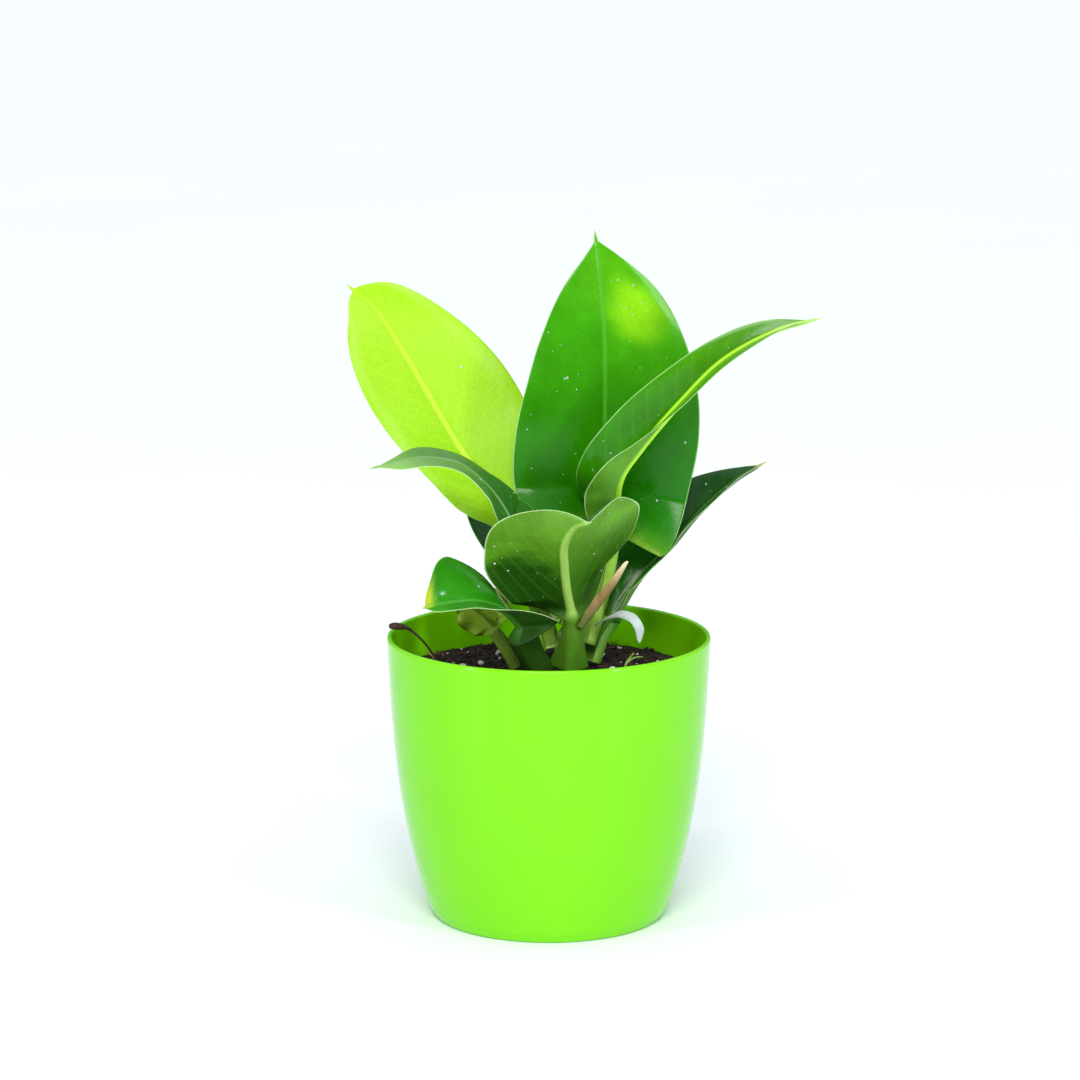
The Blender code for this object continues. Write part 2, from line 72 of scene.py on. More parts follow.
def addNode(tree, kind, inputs=None, **settings):  # one node with its settings, values and links
    node = tree.nodes.new(kind)
    for key, value in settings.items():
        setattr(node, key, value)
    for key, value in (inputs or {}).items():
        if isinstance(value, bpy.types.NodeSocket):
            tree.links.new(value, node.inputs[key])
        else:
            node.inputs[key].default_value = value
    return node


def scaleNode(tree, colour, factor):
    return addNode(tree, "ShaderNodeVectorMath", {0: colour, "Scale": factor}, operation="SCALE")


def readAttribute(tree, name):
    return addNode(tree, "ShaderNodeAttribute", attribute_name=name)


def mathNode(tree, operation, *values):  # values in the order of the node's inputs
    return addNode(tree, "ShaderNodeMath", dict(enumerate(values)), operation=operation)


def noiseNode(tree, coords, scale, detail):  # cloudy noise in the object's own space
    vector = coords.outputs["Object"]
    return addNode(tree, "ShaderNodeTexNoise", {"Vector": vector, "Scale": scale, "Detail": detail})


def mixNode(tree, share, first, second):  # from the first colour to the second
    return addNode(tree, "ShaderNodeMix", {0: share, 6: first, 7: second}, data_type="RGBA")


def rampNode(tree, value, low, dark, high, light):  # dark up to low, light from high on
    ramp = addNode(tree, "ShaderNodeValToRGB", {"Fac": value})
    for stop, place, colour in zip(ramp.color_ramp.elements, (low, high), (dark, light)):
        stop.position, stop.color = place, rgba(colour)
    return ramp


def bumpNode(tree, strength, distance, height):
    return addNode(tree, "ShaderNodeBump", {"Strength": strength, "Distance": distance, "Height": height})


def remapNode(tree, value, start, stop, low, high, smooth=False):  # start to stop becomes low to high
    ends = {"Value": value, "From Min": start, "From Max": stop, "To Min": low, "To Max": high}
    kind = "SMOOTHSTEP" if smooth else "LINEAR"
    return addNode(tree, "ShaderNodeMapRange", ends, interpolation_type=kind)


def newMaterial(name):
    material = bpy.data.materials.new(name)
    material.use_nodes = True
    material.node_tree.nodes.clear()
    return material, material.node_tree


def finishMaterial(tree, shader):
    addNode(tree, "ShaderNodeOutputMaterial", {"Surface": shader.outputs[0]})


def newPiece(name, points, faces, materials, faceMaterials=None, smooth=True):  # points in mm
    mesh = bpy.data.meshes.new(name)
    mesh.from_pydata((np.asarray(points) * mm).tolist(), [], faces)
    for material in materials:
        mesh.materials.append(material)
    if faceMaterials is not None:
        mesh.polygons.foreach_set("material_index", faceMaterials)
    if smooth:
        mesh.shade_smooth()
    mesh.update()
    piece = bpy.data.objects.new(name, mesh)
    bpy.context.scene.collection.objects.link(piece)
    return piece


def setValues(piece, name, values):  # one number or colour for each point
    values = np.asarray(values, np.float32)
    kind, key = ("FLOAT_COLOR", "color") if values.ndim == 2 else ("FLOAT", "value")
    attribute = piece.data.attributes.new(name, kind, "POINT")
    attribute.data.foreach_set(key, values.ravel())


def place(piece, slotName, *nodes):
    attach(piece, "root")
    if nodes:
        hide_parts(*nodes)


# pot

pot = {
    "height": 113.0, "baseRadius": 46.5, "slope": 5.0, "belly": 12.5,
    "wall": 2.0, "floor": 2.6, "footRadius": 2.0, "footTop": 3.0,
    "corner": 5.0, "cornerTop": 8.0, "cornerRings": 4, "flatFloor": 20.0, "grooveLean": 0.6,
    "grooveInner": 34.0, "grooveOuter": 38.0, "grooveDepth": 1.2,
    "segments": 224, "rings": 60,
}


def potRadius(height):
    t = height / pot["height"]
    return pot["baseRadius"] + pot["slope"] * t + pot["belly"] * (1 - (1 - t) ** 3)


def arc(centreR, centreZ, radius, start, stop, count):
    angles = np.radians(np.linspace(start, stop, count))
    return [(centreR + radius * math.cos(a), centreZ + radius * math.sin(a)) for a in angles]


def turnProfile(name, profile, segments, materials):  # both ends of the profile are on the axis
    angles = np.linspace(0, 2 * math.pi, segments, endpoint=False)
    ring = np.stack([np.cos(angles), np.sin(angles)], 1)
    inner = profile[1:-1]
    points = [(0, 0, profile[0][1])]
    for radius, height in inner:
        points += [(radius * x, radius * y, height) for x, y in ring]
    points.append((0, 0, profile[-1][1]))
    faces = []
    last = len(points) - 1
    for s in range(segments):
        t = (s + 1) % segments
        faces.append((0, 1 + s, 1 + t))
        for k in range(len(inner) - 1):
            a, b = 1 + k * segments, 1 + (k + 1) * segments
            faces.append((a + s, b + s, b + t, a + t))
        faces.append((last, 1 + (len(inner) - 1) * segments + t, 1 + (len(inner) - 1) * segments + s))
    return newPiece(name, points, faces, materials)


def mouldedPolypropylene():
    # injection-moulded polypropylene, dyed through: smooth and glossy with a faint orange-peel ripple
    material, tree = newMaterial("mouldedPolypropylene")
    coords = addNode(tree, "ShaderNodeTexCoord")
    cloud = noiseNode(tree, coords, 22.0, 3.0)
    colour = mixNode(tree, cloud.outputs["Fac"], rgba("74CC00"), rgba("79D200"))
    peel = noiseNode(tree, coords, 260.0, 2.0)
    ripple = noiseNode(tree, coords, 30.0, 1.0)
    height = mathNode(tree, "MULTIPLY_ADD", peel.outputs["Fac"], 0.12, ripple.outputs["Fac"])
    bump = bumpNode(tree, 0.06, 0.0006, height.outputs[0])
    gloss = remapNode(tree, cloud.outputs["Fac"], 0, 1, 0.10, 0.16)
    shader = addNode(tree, "ShaderNodeBsdfPrincipled", {
        "Base Color": colour.outputs[2], "Roughness": gloss.outputs["Result"], "IOR": 1.49,
        "Specular IOR Level": 0.32, "Normal": bump.outputs["Normal"]})
    finishMaterial(tree, shader)
    return material


def makePot():
    lip = pot["wall"] / 2
    heights = np.linspace(pot["height"] - lip, pot["footTop"], pot["rings"])
    inner = [(potRadius(h) - pot["wall"], h) for h in heights[::-1][pot["cornerRings"]:]]
    outer = [(potRadius(h), h) for h in heights[1:]]
    cornerAt = (potRadius(pot["cornerTop"]) - pot["wall"] - pot["corner"], pot["floor"] + pot["corner"])
    corner = arc(*cornerAt, pot["corner"], -90, -20, 8)
    overLip = arc(potRadius(heights[0]) - lip, heights[0], lip, 180, 0, 13)[1:]
    footRadius = pot["footRadius"]
    foot = arc(pot["baseRadius"] - footRadius, footRadius, footRadius, -10, -90, 8)
    profile = [(0, pot["floor"]), (pot["flatFloor"], pot["floor"])] + corner + inner + overLip + outer + foot
    lean, depth = pot["grooveLean"], pot["grooveDepth"]
    profile += [(pot["grooveOuter"], 0), (pot["grooveOuter"] - lean, depth),
                (pot["grooveInner"] + lean, depth), (pot["grooveInner"], 0), (0, 0)]
    piece = turnProfile("pottedShell", profile, pot["segments"], [mouldedPolypropylene()])
    place(piece, "pot_plastic", "pot")


makePot()
print("pot made")


# leaves

leafGrid = {"bladeRows": 116, "stalkRows": 26, "halfColumns": 22}
leafShape = {
    "stalkFold": 35.0, "pointLength": 0.03, "pointHalfWidth": 0.7, "lobeStart": 0.03, "settle": 0.15,
    "bladeThickness": 0.55, "edgeThickness": 0.26, "marginRoll": 14,
    "keelDepth": 1.7, "keelWidth": 1.15, "grooveDepth": 0.35, "grooveWidth": 0.8,
    "veinSpacing": 8.5, "veinDepth": 0.045, "veinWidth": 0.9, "veinLean": 0.95, "veinBend": 0.012,
}

# each leaf: centre line from the stalk's foot to the tip, where the blade begins, how its upper face looks,
# half-widths at even steps, fold and curl of each half, then its colours from base to tip and its painted
# light and shade
leafDefaults = {
    "curlLeft": [0, 0, 0], "curlRight": [0, 0, 0], "lobeLeft": 0, "lobeRight": 0,
    "bluntLeft": 0, "bluntRight": 0, "roundBase": 0.12, "flare": 0, "body": 3.2,
}
leaves = {
    "limeLeaf": {
        "node": "leaf_lime", "slot": "leaf_lime", "finish": "young",
        "path": [(4, 4, 119), (-3, 8, 131), (-14, 13, 151), (-21, 17, 162), (-30, 22, 176), (-39, 27, 189),
                 (-56, 37, 217), (-69, 44, 236), (-81, 47, 246)],
        "bladeFrom": 2,
        "face": [(0.23, -0.91, 0.34), (0.19, -0.93, 0.32), (0.09, -0.92, 0.37), (0, -0.91, 0.42)],
        "left": [6, 15, 19, 22.5, 23.5, 23, 21], "right": [12, 25, 31.5, 32, 28, 19.5, 6],
        "foldLeft": [14, 8, 8], "foldRight": [14, 8, 7],
        "stalk": 3.2, "sheath": 0.5, "bluntLeft": 0.42, "bluntRight": 0.10,
        "upperLeft": ["86BC00", "8EC400", "98C808"], "upperRight": ["8CC200", "94CA00", "96CA06"],
        "under": ["94CC14", "A0D81C"], "stem": ["C8D890", "B4DC50"],
        "rib": "B4DC30", "ribGlow": [1.0, 0.95, 0.8, 0.2], "wave": 0.5, "wet": [0.35, 0.05],
        "dryUpTo": [0.1, 0.5],  # share of the width where drops begin and where they are all there
    },
    "uprightLeaf": {
        "node": "leaf_upright", "slot": "leaf_green", "finish": "glossy",
        "path": [(9, 8, 114), (14, 13, 131), (21, 13, 153), (22, 12, 173), (22, 13, 197), (22, 18, 228),
                 (20, 24, 255), (18, 27, 270)],
        "bladeFrom": 2,
        "face": [(0, -0.98, 0.2), (0, -1, 0.1), (-0.05, -0.99, 0.15), (0, -0.98, 0.2)],
        "left": [29, 36, 35.5, 31, 25.5, 16, 0], "right": [29, 33, 37.5, 37, 31, 20, 0],
        "foldLeft": [8, 12, 12], "foldRight": [9, 12, 12],
        "stalk": 4.2, "sheath": 1.5, "lobeLeft": 1, "lobeRight": 10, "roundBase": 0.05,
        "upperLeft": ["1E6E02", "287A02", "348C04", "3C9606"],
        "upperRight": ["187002", "247802", "3C9406", "368E06"],
        "under": ["4E8A24", "5A9430"], "stem": ["7FA83C", "5E9A28"],
        "rib": "4FA828", "ribGlow": [0.7, 0.5, 0.5, 0.3], "wave": 0.5, "wet": [0.15, 0.8],
        # the first two patches are painted light: brighter green high on the right half of the blade; the
        # last two are the dry yellow and brown margin at the base
        "marksAndPaintedLight": [{"u": 0.86, "v": 0.3, "sizeU": 0.16, "sizeV": 1.1, "colour": "4A9E08",
                  "outer": 1.4, "inner": 0.2},
                  {"u": 0.73, "v": 0.50, "sizeU": 0.11, "sizeV": 0.42, "colour": "7CC010",
                  "outer": 1.35, "inner": 0.3},
                  {"u": 0.0, "v": 0.75, "sizeU": 0.035, "sizeV": 0.5, "colour": "A8A030", "ragged": 0.12},
                  {"u": 0.0, "v": 0.65, "sizeU": 0.022, "sizeV": 0.4, "colour": "4A3414", "ragged": 0.15}],
    },
    "rightArchedLeaf": {
        "node": "leaf_right_arched", "slot": "leaf_green", "finish": "glossy",
        "path": [(15, 2, 109), (21, 6, 130), (25, 3, 153), (27, -7, 175), (36, -9, 190), (51, -10, 208),
                 (67, -10, 224), (87, -8, 235), (106, -6, 240)],
        "bladeFrom": 2.2,
        "face": [(-0.72, -0.4, 0.56), (-0.75, -0.45, 0.2), (-0.45, -0.8, 0.4), (-0.18, -0.3, 0.94)],
        "left": [17.5, 17.5, 16, 13, 9.5, 6, 0], "right": [16, 18, 16, 14, 13, 9, 0],
        "foldLeft": [38, 33, 27], "foldRight": [78, 53, 31], "curlLeft": [4, 5, 6], "curlRight": [18, 4, 6],
        "stalk": 3.6, "sheath": 1.0,
        "upperLeft": ["2E8206", "348604", "3E820C", "4C8822"], "upperRight": ["2E8206", "46920E", "5A982A"],
        "under": ["5E9E22", "5E9A30", "4E8228"], "stem": ["9CC850", "A0D040"],
        "rib": "B4E83C", "ribGlow": [1.0, 1.0, 1.0, 0.8], "wave": 0.4, "wet": [0.5, 0.25],
    },
    "leftArchedLeaf": {
        "node": "leaf_left_arched", "slot": "leaf_green", "finish": "glossy",
        "path": [(-1, 0, 107), (-5, -1, 128), (-10, -7, 149), (-15, -15.5, 163), (-23, -20, 176),
                 (-34, -24, 186), (-48, -27, 189), (-59, -29, 187), (-69, -30, 185)],
        "bladeFrom": 2.1,
        "face": [(0.58, -0.66, 0.48), (0.3, -0.6, 0.7), (0.06, -0.25, 0.96), (0, -0.6, 0.78)],
        "left": [7, 11, 12, 10, 8.5, 6, 0], "right": [15, 15, 13, 11, 9, 5, 0],
        "foldLeft": [3, 6, 10], "foldRight": [19, 4, 11],
        "curlLeft": [-12, -8, -3], "curlRight": [-5, -8, -2],
        "stalk": 3.6, "sheath": 1.0, "lobeRight": 3,
        # the pale grey-green of the upper face towards the tip and the grey midrib are painted sheen over the
        # leaf's green
        "upperLeft": ["2E6E18", "4C8034", "86B05C"], "upperRight": ["2E6E18", "3C7428", "6C9A4C"],
        "under": ["5C8E38", "6A9A44"], "stem": ["7FA83C", "6A9A34"],
        "rib": "9CB888", "ribGlow": [0.8, 0.6, 0.3, 0.2], "wave": 0.4, "wet": [0.1, 0.1],
    },
    "frontLeaf": {
        "node": "leaf_front", "slot": "leaf_green", "finish": "glossy",
        "path": [(8, -8.5, 101), (9, -10, 112), (9, -11, 122), (7, -16, 134), (6, -22, 145), (6, -30, 155),
                 (10, -40, 164), (16, -50, 168)],
        "bladeFrom": 2,
        "face": [(-0.05, 0.95, 0.3), (-0.03, 0.99, 0.15), (-0.03, 0.5, 0.86), (-0.02, 0.66, 0.75)],
        "left": [12, 24, 34, 37, 35.5, 23, 0], "right": [13, 23.5, 30.5, 31, 28, 16.5, 0],
        "foldLeft": [46, 33, 39], "foldRight": [9, 9, 27], "curlLeft": [14, 9, 12], "curlRight": [2, 0, 6],
        "stalk": 4.6, "sheath": 4.6,
        # the grey-green of the upper face towards the tip is painted sheen over the leaf's green
        "upperLeft": ["2E7414", "3A7A30", "5A8A60"], "upperRight": ["2E7414", "3A7A30", "5A8A60"],
        "under": ["2E640A", "447A10", "629A26", "7CB248"], "stem": ["4A7E18", "5C8E28"],
        "rib": "A8D060", "ribGlow": [1.0, 0.95, 0.9, 0.5], "wave": 0.4, "wet": [0.0, 0.1],
        "wetUnder": [0.6, 0.4],
        # painted shade: a dark green patch on the underside near the base of the right half
        "underPaintedShade": [{"u": 0.22, "v": 0.55, "sizeU": 0.28, "sizeV": 0.58, "colour": "1E4E06"}],
    },
    "rightRearLeaf": {
        "node": "leaf_right_rear", "slot": "leaf_green", "finish": "glossy",
        "path": [(17, 4, 101), (20, 6, 110), (25, 10, 117), (36, 17, 133), (49, 22, 145), (60, 23, 158),
                 (74, 26, 170), (87, 30, 177)],
        "bladeFrom": 2,
        "face": [(-0.43, -0.28, 0.86), (-0.47, -0.53, 0.71), (-0.48, -0.36, 0.8), (-0.36, -0.44, 0.82)],
        "left": [12.5, 19.5, 22.5, 21.5, 17.5, 9.5, 0], "right": [15, 19.5, 19, 17, 13.5, 8.5, 0],
        "foldLeft": [38, 22, 15], "foldRight": [50, 33, 30], "curlLeft": [0, 1, 0], "curlRight": [2, 1, 5],
        "stalk": 3.6, "sheath": 1.5, "lobeRight": 6,
        "upperLeft": ["1C6A0C", "1A5614", "1E4E20"], "upperRight": ["1C6A0C", "1A5614", "224E24"],
        "under": ["3E7A1E", "2E5A22", "24482A"], "stem": ["6E9A34", "4E8A24"],
        "rib": "7CAA48", "ribGlow": [0.8, 0.5, 0.3, 0.2], "wave": 0.5, "wet": [0.1, 0.1],
        "marksAndPaintedLight": [{"u": 1.0, "v": 0, "sizeU": 0.06, "sizeV": 2.0, "colour": "C8A050"}],
    },
    "leftLowLeaf": {
        "node": "leaf_left_low", "slot": "leaf_green", "finish": "glossy",
        "path": [(-1, -10, 102), (-4, -14, 109), (-10, -18, 120), (-17, -22, 128), (-27, -25, 132),
                 (-36, -27, 132), (-45, -29, 131), (-49, -30, 130)],
        "bladeFrom": 1.8,
        "face": [(0.16, -0.31, 0.94), (0.05, -0.13, 0.99), (0.09, -0.39, 0.92), (0.01, -0.94, 0.35)],
        "left": [19, 22, 18, 14, 9, 5, 4], "right": [7.5, 13.5, 17.5, 19.5, 20, 16.5, 8],
        "foldLeft": [22, 19, 26], "foldRight": [8, 9, 38],
        "curlLeft": [17, 11, 9], "curlRight": [-11, -6, 12],
        "stalk": 3.6, "sheath": 0.0, "flare": 3.5, "body": 8.0, "bluntLeft": 0.15, "bluntRight": 0.15,
        "upperLeft": ["24700C", "287A10", "3A8A20"], "upperRight": ["227010", "28800E", "2E8A10"],
        # the near-black green of the stalk is painted shade, darker than the stalk's own green
        "under": ["2E5E14", "3E7A1E"], "stem": ["28480C", "234A0C"],
        "rib": "5EA83A", "ribGlow": [0.6, 0.5, 0.4, 0.3], "wave": 0.4, "wet": [0.1, 0.5],
        "marksAndPaintedLight": [{"u": 1.02, "v": 0.6, "sizeU": 0.14, "sizeV": 1.1, "colour": "B8C830"},
                  {"u": 1.03, "v": 0.6, "sizeU": 0.075, "sizeV": 1.2, "colour": "D8A040"},
                  {"u": 1.03, "v": 0.3, "sizeU": 0.04, "sizeV": 1.4, "colour": "B88070"}],
    },
    "oldSmallLeaf": {
        "node": "leaf_old_small", "slot": "leaf_olive", "finish": "dull",
        "path": [(-12, -3, 101), (-17, -3, 109), (-23, -2, 117), (-28, -2, 122),
                 (-33, -3, 126), (-39, -4, 127)],
        "bladeFrom": 1.7,
        "face": [(-0.3, 0.8, 0.6), (-0.3, 0.9, 0.4), (-0.3, 0.9, 0.4)],
        "left": [7.5, 10.5, 12, 12, 10, 7, 0], "right": [5.5, 7.5, 9, 9, 8, 5.5, 0],
        "foldLeft": [15, 10, 10], "foldRight": [15, 10, 10],
        "stalk": 2.4, "sheath": 1.0,
        "upperLeft": ["4E7A1C", "5E801E", "6A8424"], "upperRight": ["4E7A1C", "5E801E", "6A8424"],
        "under": ["8CB028", "94B42C", "94A434"], "stem": ["6E8A2C", "7C9A30"],
        "rib": "8CA040", "ribGlow": [0.6, 0.5, 0.4, 0.3], "wave": 0.9, "wet": [0, 0],
        "marksAndPaintedLight": [{"u": 0.6, "v": -1.0, "sizeU": 0.5, "sizeV": 0.10, "colour": "6A4A1C"},
                  {"u": 0.6, "v": 1.0, "sizeU": 0.5, "sizeV": 0.14, "colour": "6A4A1C"}],
    },
    "leftRearLeaf": {
        "node": "leaf_left_rear", "slot": "leaf_green", "finish": "glossy",
        "path": [(1, 6, 107), (-4, 12, 124), (-14, 22, 136), (-20, 28, 148), (-24, 36, 160), (-28, 44, 175),
                 (-29, 50, 188)],
        "bladeFrom": 1.8,
        "face": [(0.3, -0.8, 0.5), (0.5, -0.8, 0.4), (0.5, -0.8, 0.5), (0.3, -0.7, 0.7)],
        "left": [7.5, 11.5, 14, 14, 12, 8, 0], "right": [9.5, 14.5, 18, 18, 15.5, 10.5, 0],
        "foldLeft": [20, 15, 10], "foldRight": [20, 15, 10],
        "stalk": 3.0, "sheath": 1.0,
        "upperLeft": ["185808", "1C6A0C", "247410"], "upperRight": ["185808", "1C6A0C", "247410"],
        "under": ["4E8A24", "5A9430"], "stem": ["6E9A34", "4E8A24"],
        "rib": "5EA83A", "ribGlow": [0.6, 0.5, 0.4, 0.3], "wave": 0.5, "wet": [0.1, 0.1],
    },
}


def unit(vectors):
    return vectors / np.linalg.norm(vectors, axis=-1, keepdims=True)


def pathLength(path, upTo):
    steps = np.linspace(0, upTo / (len(path) - 1), 400)
    return np.linalg.norm(np.diff(smoothCurve(path, steps), axis=0), axis=1).sum()


def pathFrames(path, lengths, face):  # places, directions, upper-face normals and right-hand sides
    steps = np.linspace(0, 1, 40 * len(path))
    dense = smoothCurve(path, steps)
    along = np.r_[0, np.cumsum(np.linalg.norm(np.diff(dense, axis=0), axis=1))]

    def at(length):
        return np.stack([np.interp(length, along, dense[:, k]) for k in range(3)], 1)

    reach = 0.8
    direction = unit(at(np.clip(lengths + reach, 0, along[-1])) - at(np.clip(lengths - reach, 0, along[-1])))
    facing = smoothCurve(face, lengths / along[-1])
    normal = unit(facing - (facing * direction).sum(1)[:, None] * direction)
    return at(lengths), direction, normal, np.cross(direction, normal)


def halfWidth(leaf, side, u):
    outline = np.minimum(u / (1 - leafShape["pointLength"]), 1)
    width = smoothCurve(leaf[side], outline)[:, 0]
    width *= np.sqrt(np.clip(1 - (1 - np.minimum(u / leaf["roundBase"], 1)) ** 2, 0, 1))
    blunt = leaf["blunt" + side.capitalize()]
    if blunt:
        past = np.maximum((outline - 1) / blunt + 1, 0)
        width *= np.sqrt(np.clip(1 - past**2, 0, 1))
    return np.maximum(width, 0)


def columnShares(count):  # closer columns at the midrib and at the edge
    t = np.linspace(0, 1, count + 1)
    return 0.5 * (0.5 - 0.5 * np.cos(math.pi * t)) + 0.5 * t


def leafSkins(leaf):
    # upper and lower faces of the leaf, row by row from the stalk's foot, left edge to right edge
    shape, grid = leafShape, leafGrid
    base = pathLength(leaf["path"], leaf["bladeFrom"])
    total = pathLength(leaf["path"], len(leaf["path"]) - 1)
    even = np.linspace(0, 1, grid["bladeRows"])
    u = 0.6 * (0.5 - 0.5 * np.cos(math.pi * even)) + 0.4 * even
    stalkLengths = np.linspace(0, base, grid["stalkRows"], endpoint=False)
    lengths = np.r_[stalkLengths, base + (total - base) * u]
    blade = np.r_[np.zeros(grid["stalkRows"]), np.ones(grid["bladeRows"])]
    ub = np.r_[np.zeros(grid["stalkRows"]), u]
    down = np.clip(lengths / base, 0, 1)  # 0 at the foot, 1 where the blade begins
    centre, direction, normal, right = pathFrames(leaf["path"], lengths, leaf["face"])
    shares = columnShares(grid["halfColumns"])
    wide = 2 * grid["halfColumns"] + 1
    middle = grid["halfColumns"]
    upper = np.zeros((len(ub), wide, 3))
    facing = np.zeros((len(ub), wide, 3))
    share = np.zeros(wide)
    ribMm = np.zeros((len(ub), wide))
    edgeMm = np.zeros((len(ub), wide))
    upper[:, middle], facing[:, middle] = centre, normal
    for side, sign in (("Left", -1), ("Right", 1)):
        stalkWidth = leaf["stalk"] * (1 - 0.35 * down) + leaf["sheath"] * (1 - down) ** 1.6
        stalkWidth += leaf["flare"] * down**2
        point = shape["pointHalfWidth"] * np.minimum(1, (1 - ub) / shape["pointLength"])
        point = np.maximum(point, 0.06)
        widened = np.hypot(halfWidth(leaf, side.lower(), ub), 0.8 * stalkWidth * (1 - ub) ** 3.5)
        width = np.where(blade > 0, np.maximum(widened, point), stalkWidth)
        settle = blade * np.clip(ub / shape["settle"], 0, 1)
        fold = smoothCurve(leaf["fold" + side], ub)[:, 0]
        fold = np.radians(shape["stalkFold"] * (1 - settle) + fold * settle)
        curl = np.radians(smoothCurve(leaf["curl" + side], ub)[:, 0] * settle)
        lobe = leaf["lobe" + side] * blade * (1 - ub) ** 4 * np.clip(ub / shape["lobeStart"], 0, 1)
        window = blade * smoothStep(0.02, 0.2, ub) * smoothStep(1.0, 0.85, ub)
        wave = leaf["wave"] * window * np.sin(2 * math.pi * (2.6 * ub + 0.3 * sign) + leaf["path"][0][0])
        roll = np.radians(shape["marginRoll"]) * window
        across, rise = np.zeros(len(ub)), np.zeros(len(ub))
        for column in range(1, middle + 1):
            f, step = shares[column], shares[column] - shares[column - 1]
            angle = fold + curl * (f - step / 2) - roll * smoothStep(0.72, 1.0, f - step / 2)
            across += width * step * np.cos(angle)
            rise += width * step * np.sin(angle)
            k = middle + sign * column
            upper[:, k] = (centre + sign * right * across[:, None] + normal * (rise + wave * f**2)[:, None]
                           - direction * (lobe * f**1.5)[:, None])
            facing[:, k] = normal * np.cos(angle)[:, None] - sign * right * np.sin(angle)[:, None]
            share[k] = sign * f
            ribMm[:, k] = sign * width * f
            edgeMm[:, k] = width * (1 - f)
        edgeMm[:, middle] = np.maximum(edgeMm[:, middle], width)
    alongMm = np.repeat((lengths - base)[:, None], wide, 1)
    onBlade = np.repeat((blade * smoothStep(0.0, 0.08, ub))[:, None], wide, 1)
    uGrid = np.repeat(ub[:, None], wide, 1)

    # lateral veins leave the midrib and lean towards the tip
    reach = np.abs(ribMm)
    phase = (alongMm - shape["veinLean"] * reach - shape["veinBend"] * reach**2) / shape["veinSpacing"]
    phase += np.where(ribMm > 0, 0.5, 0.0)
    toVein = np.abs(phase - np.round(phase)) * shape["veinSpacing"]
    fade = onBlade * smoothStep(0.8, 3.0, reach) * smoothStep(0.5, 3.5, edgeMm)
    vein = np.exp(-(toVein / shape["veinWidth"]) ** 2) * fade

    rib = np.exp(-(ribMm / shape["grooveWidth"]) ** 2)
    keelSize = shape["keelDepth"] * (1 - uGrid) ** 1.3 + 0.25
    keel = np.exp(-(ribMm / (shape["keelWidth"] * (0.6 + 0.6 * (1 - uGrid)))) ** 2) * keelSize
    thicker = shape["bladeThickness"] - shape["edgeThickness"]
    thin = shape["edgeThickness"] + thicker * smoothStep(0, 3, edgeMm)
    bladeDepth = thin + keel * smoothStep(0, 1.2, edgeMm)
    stalkDepth = 0.5 + leaf["body"] * np.sqrt(np.clip(1 - np.abs(share)[None, :] ** 2.2, 0, 1))
    depth = bladeDepth * onBlade + stalkDepth * (1 - onBlade)
    upper = upper - facing * ((shape["grooveDepth"] * rib * (1 - 0.6 * uGrid) * smoothStep(0, 1.5, edgeMm)
                               + shape["veinDepth"] * vein) * onBlade)[..., None]
    lower = upper - facing * (depth + 0.5 * shape["veinDepth"] * vein)[..., None]
    values = {"share": np.repeat(share[None, :], len(ub), 0), "u": uGrid, "ribMm": ribMm, "edgeMm": edgeMm,
              "phase": phase, "onBlade": onBlade, "down": np.repeat(down[:, None], wide, 1), "fade": fade}
    return upper, lower, values


def paintLeaf(leaf, values, under):  # base colours of one face, point by point, with marks, painted light and painted shade
    u, share, onBlade = values["u"].ravel(), values["share"].ravel(), values["onBlade"].ravel()
    if under:
        blade = smoothCurve([linear(c) for c in leaf["under"]], u)
    else:
        left = smoothCurve([linear(c) for c in leaf["upperLeft"]], u)
        right = smoothCurve([linear(c) for c in leaf["upperRight"]], u)
        side = smoothStep(-0.15, 0.15, share)[:, None]
        blade = left * (1 - side) + right * side
    stem = smoothCurve([linear(c) for c in leaf["stem"]], values["down"].ravel())
    paint = stem * (1 - onBlade[:, None]) + blade * onBlade[:, None]
    for markOrLightPatch in leaf.get("underPaintedShade" if under else "marksAndPaintedLight", []):
        away = np.hypot((u - markOrLightPatch["u"]) / markOrLightPatch["sizeU"], (share - markOrLightPatch["v"]) / markOrLightPatch["sizeV"])
        wobble = markOrLightPatch.get("ragged", 0.05) * (np.sin(u * 40 + share * 9) + 0.6 * np.sin(u * 90 + 3))
        cover = (smoothStep(markOrLightPatch.get("outer", 1.2), markOrLightPatch.get("inner", 0.6), away + wobble) * onBlade)[:, None]
        paint = paint * (1 - cover) + np.array(linear(markOrLightPatch["colour"])) * cover
    return np.clip(np.c_[paint, np.ones(len(paint))], 0, 1)


